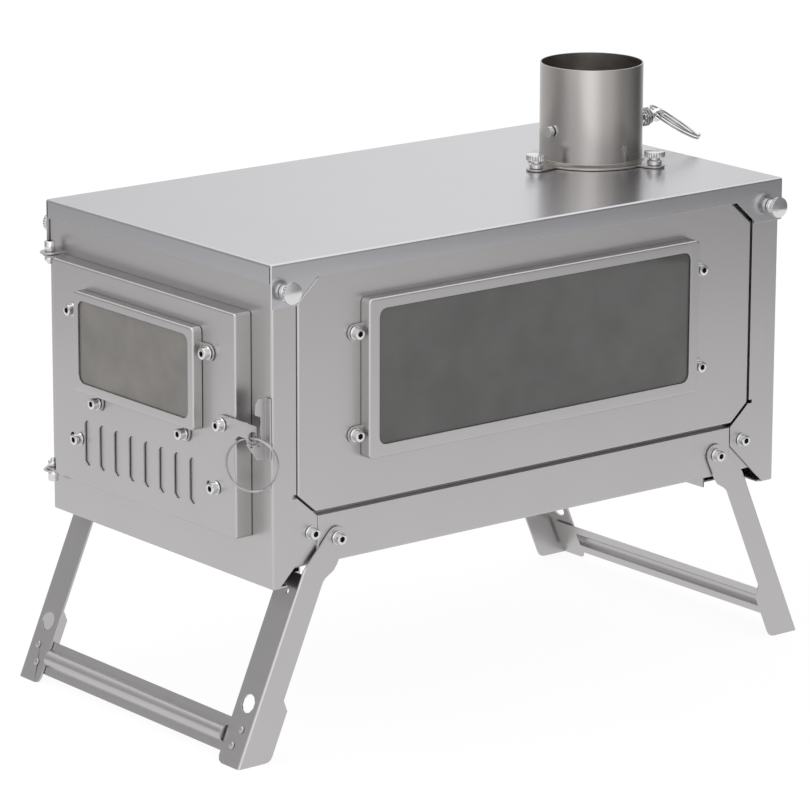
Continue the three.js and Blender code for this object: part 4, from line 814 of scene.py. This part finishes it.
class STOVE_OT_stage(bpy.types.Operator):
    """Pale floor, soft light and the camera of the photograph"""
    bl_idname = "stove.stage"
    bl_label = "Stage"

    # The camera, from fitting the stove's corners to the photograph.
    EYE = (2020.29, -1621.44, 826.06)
    AZIMUTH, ELEVATION, ROLL = 51.411, 14.675, 0.172      # degrees
    LENS, SENSOR = 208.32, 36
    # The lamps' places and widths in metres.
    KEY_PLACE, KEY_WIDTH = (-0.9, -1.6, 2.2), 1.6
    FILL_PLACE, FILL_WIDTH = (2.4, -0.4, 1.7), 1.4
    LAMPS_AIM = (0, 0, 0.15)
    # The surround's foot, top and radius in metres, its brightness by the degrees round from +X,
    # from 0 (dark side) to 1 (bright side).
    WALL_FOOT, WALL_TOP, WALL_RADIUS = 0.03, 0.9, 1.05
    WALL_LEVELS = ((-180, 0.38), (-125, 0.2), (-75, 0.62), (-38, 1.0), (0, 0.42), (40, 0.12),
                   (85, 0.0), (135, 0.56), (180, 0.38))
    FLOOR_WHITE = 1.05       # strength of the floor's white where it is seen
    FLOOR_SHARE = 0.88       # share of that white, the rest is paper that takes the shadow

    def execute(self, context):
        scene = context.scene
        look = scene.stove_look
        scene.view_settings.view_transform = "Standard"
        deselect()
        bpy.ops.mesh.primitive_plane_add(size=14, location=(0, 0, 0))
        floor = context.object
        floor.name = "studio_floor"
        floor.data.materials.append(self.floor_paint())
        self.sky(scene, look)
        self.surround(look)
        self.lamp("key_softbox", self.KEY_PLACE, self.KEY_WIDTH, look.key)
        self.lamp("fill_softbox", self.FILL_PLACE, self.FILL_WIDTH, look.fill)
        self.camera(scene)
        return {"FINISHED"}

    def seen(self, tree):
        """1 for rays that should meet the plain white of the studio, and 1 for mirrored rays."""
        path = add(tree, "ShaderNodeLightPath")
        plain = add(tree, "ShaderNodeMath", {
            0: path.outputs["Is Camera Ray"], 1: path.outputs["Is Transmission Ray"]},
            operation="MAXIMUM")
        return plain.outputs[0], path.outputs["Is Glossy Ray"]

    def floor_paint(self):
        """Matt white paper that keeps a light contact shadow."""
        material, tree = start_material("white_paper_floor")
        plain, mirrored = self.seen(tree)
        paper = add(tree, "ShaderNodeBsdfDiffuse", {"Color": (0.9, 0.9, 0.9, 1)})
        level = add(tree, "ShaderNodeMapRange", {
            "Value": mirrored, "To Min": self.FLOOR_WHITE,
            "To Max": bpy.context.scene.stove_look.ground})
        white = add(tree, "ShaderNodeEmission", {
            "Color": (1, 1, 1, 1), "Strength": level.outputs[0]})
        either = add(tree, "ShaderNodeMath", {0: plain, 1: mirrored}, operation="MAXIMUM")
        share = add(tree, "ShaderNodeMath", {0: either.outputs[0], 1: self.FLOOR_SHARE},
                    operation="MULTIPLY")
        mix = add(tree, "ShaderNodeMixShader", {
            "Fac": share.outputs[0], 1: paper.outputs[0], 2: white.outputs[0]})
        add(tree, "ShaderNodeOutputMaterial", {"Surface": mix.outputs[0]})
        return material

    def surround(self, look):
        """A low round wall that only metal and glass mirror: one bright side, two dark ones."""
        deselect()
        bpy.ops.mesh.primitive_cylinder_add(
            vertices=96, radius=self.WALL_RADIUS, depth=self.WALL_TOP - self.WALL_FOOT,
            end_fill_type="NOTHING", location=(0, 0, (self.WALL_FOOT + self.WALL_TOP) / 2))
        wall = bpy.context.object
        bpy.ops.object.transform_apply(location=True, rotation=True, scale=True)
        wall.name = "studio_surround"
        material, tree = start_material("studio_surround")
        place = add(tree, "ShaderNodeTexCoord").outputs["Object"]
        flat = add(tree, "ShaderNodeSeparateXYZ", {0: place})
        turn = add(tree, "ShaderNodeMath", {0: flat.outputs["Y"], 1: flat.outputs["X"]},
                   operation="ARCTAN2")
        share = add(tree, "ShaderNodeMapRange", {
            "Value": turn.outputs[0], "From Min": -math.pi, "From Max": math.pi})
        ramp = add(tree, "ShaderNodeValToRGB", {"Fac": share.outputs[0]})
        levels = ramp.color_ramp
        levels.interpolation = "EASE"
        while len(levels.elements) < len(self.WALL_LEVELS):
            levels.elements.new(0.5)
        for stop, (degrees, level) in zip(levels.elements, self.WALL_LEVELS):
            stop.position = (degrees + 180) / 360
            stop.color = (level, level, level, 1)
        level = add(tree, "ShaderNodeMapRange", {
            "Value": ramp.outputs["Color"], "To Min": look.dark_side, "To Max": look.window})
        glow = add(tree, "ShaderNodeEmission", {
            "Color": (1, 1, 1, 1), "Strength": level.outputs[0]})
        add(tree, "ShaderNodeOutputMaterial", {"Surface": glow.outputs[0]})
        wall.data.materials.append(material)
        wall.visible_camera = wall.visible_diffuse = wall.visible_shadow = False
        wall.visible_transmission = False

    def sky(self, scene, look):
        """White where it is seen. Where metal mirrors it, it is brighter towards the zenith."""
        world = bpy.data.worlds.new("studio_sky")
        world.use_nodes = True
        tree = world.node_tree
        tree.nodes.clear()
        plain, mirrored = self.seen(tree)
        way = add(tree, "ShaderNodeTexCoord").outputs["Generated"]
        height = add(tree, "ShaderNodeSeparateXYZ", {0: way}).outputs["Z"]
        dome = add(tree, "ShaderNodeMapRange", {
            "Value": height, "From Min": 0.15, "From Max": 0.8,
            "To Min": look.horizon, "To Max": look.zenith})
        lit = add(tree, "ShaderNodeMapRange", {
            "Value": mirrored, "To Min": look.sky, "To Max": dome.outputs[0]})
        level = add(tree, "ShaderNodeMapRange", {
            "Value": plain, "To Min": lit.outputs[0], "To Max": 1.0})
        light = add(tree, "ShaderNodeBackground", {
            "Color": (1, 1, 1, 1), "Strength": level.outputs[0]})
        add(tree, "ShaderNodeOutputWorld", {"Surface": light.outputs[0]})
        scene.world = world

    def lamp(self, name, place, size, power):
        lamp = bpy.data.lights.new(name, "AREA")
        lamp.size = size
        lamp.energy = power
        holder = bpy.data.objects.new(name, lamp)
        holder.location = place
        aim = Vector(self.LAMPS_AIM) - Vector(place)
        holder.rotation_euler = aim.to_track_quat("-Z", "Y").to_euler()
        bpy.context.scene.collection.objects.link(holder)

    def camera(self, scene):
        azimuth, elevation, roll = map(math.radians, (self.AZIMUTH, self.ELEVATION, self.ROLL))
        back = Vector((math.sin(azimuth) * math.cos(elevation),
                       -math.cos(azimuth) * math.cos(elevation), math.sin(elevation)))
        right = Vector((math.cos(azimuth), math.sin(azimuth), 0))
        up = back.cross(right)
        right, up = (right * math.cos(roll) + up * math.sin(roll),
                     up * math.cos(roll) - right * math.sin(roll))
        lens = bpy.data.cameras.new("photo_lens")
        lens.sensor_width, lens.lens = self.SENSOR, self.LENS
        lens.clip_start, lens.clip_end = 0.1, 50
        camera = bpy.data.objects.new("photo_camera", lens)
        turn = Matrix((right, up, back)).transposed().to_4x4()
        camera.matrix_world = Matrix.Translation(at(*self.EYE)) @ turn
        scene.collection.objects.link(camera)
        scene.camera = camera


class STOVE_PT_sidebar(bpy.types.Panel):
    """Lists the steps and what can be changed"""
    bl_label = "Tent wood stove"
    bl_idname = "STOVE_PT_sidebar"
    bl_space_type = "VIEW_3D"
    bl_region_type = "UI"
    bl_category = "Stove"

    def draw(self, context):
        for step in STEPS:
            self.layout.operator(step)
        for name in ("stove_finishes", "stove_sizes", "stove_look"):
            group = getattr(context.scene, name)
            box = self.layout.box()
            for key in group.bl_rna.properties.keys():
                if key not in ("rna_type", "name"):
                    box.prop(group, key)


STEPS = ("stove.body", "stove.windows", "stove.door", "stove.legs", "stove.flue",
         "stove.socket_screws", "stove.thumbscrews", "stove.hinge_bolts", "stove.wires",
         "stove.stage")
CLASSES = (
    StoveFinishes, StoveSizes, StoveLook, STOVE_OT_body, STOVE_OT_windows, STOVE_OT_door,
    STOVE_OT_legs, STOVE_OT_flue, STOVE_OT_socket_screws, STOVE_OT_thumbscrews,
    STOVE_OT_hinge_bolts, STOVE_OT_wires, STOVE_OT_stage, STOVE_PT_sidebar,
)


def register():
    for cls in CLASSES:
        bpy.utils.register_class(cls)
    bpy.types.Scene.stove_finishes = bpy.props.PointerProperty(type=StoveFinishes)
    bpy.types.Scene.stove_sizes = bpy.props.PointerProperty(type=StoveSizes)
    bpy.types.Scene.stove_look = bpy.props.PointerProperty(type=StoveLook)


def unregister():
    for name in ("stove_finishes", "stove_sizes", "stove_look"):
        delattr(bpy.types.Scene, name)
    for cls in reversed(CLASSES):
        bpy.utils.unregister_class(cls)


def main():
    """Makes every piece and the stage."""
    register()
    for step in STEPS:
        group, name = step.split(".")
        getattr(getattr(bpy.ops, group), name)()
    bpy.context.view_layer.update()


if __name__ == "__main__":
    main()
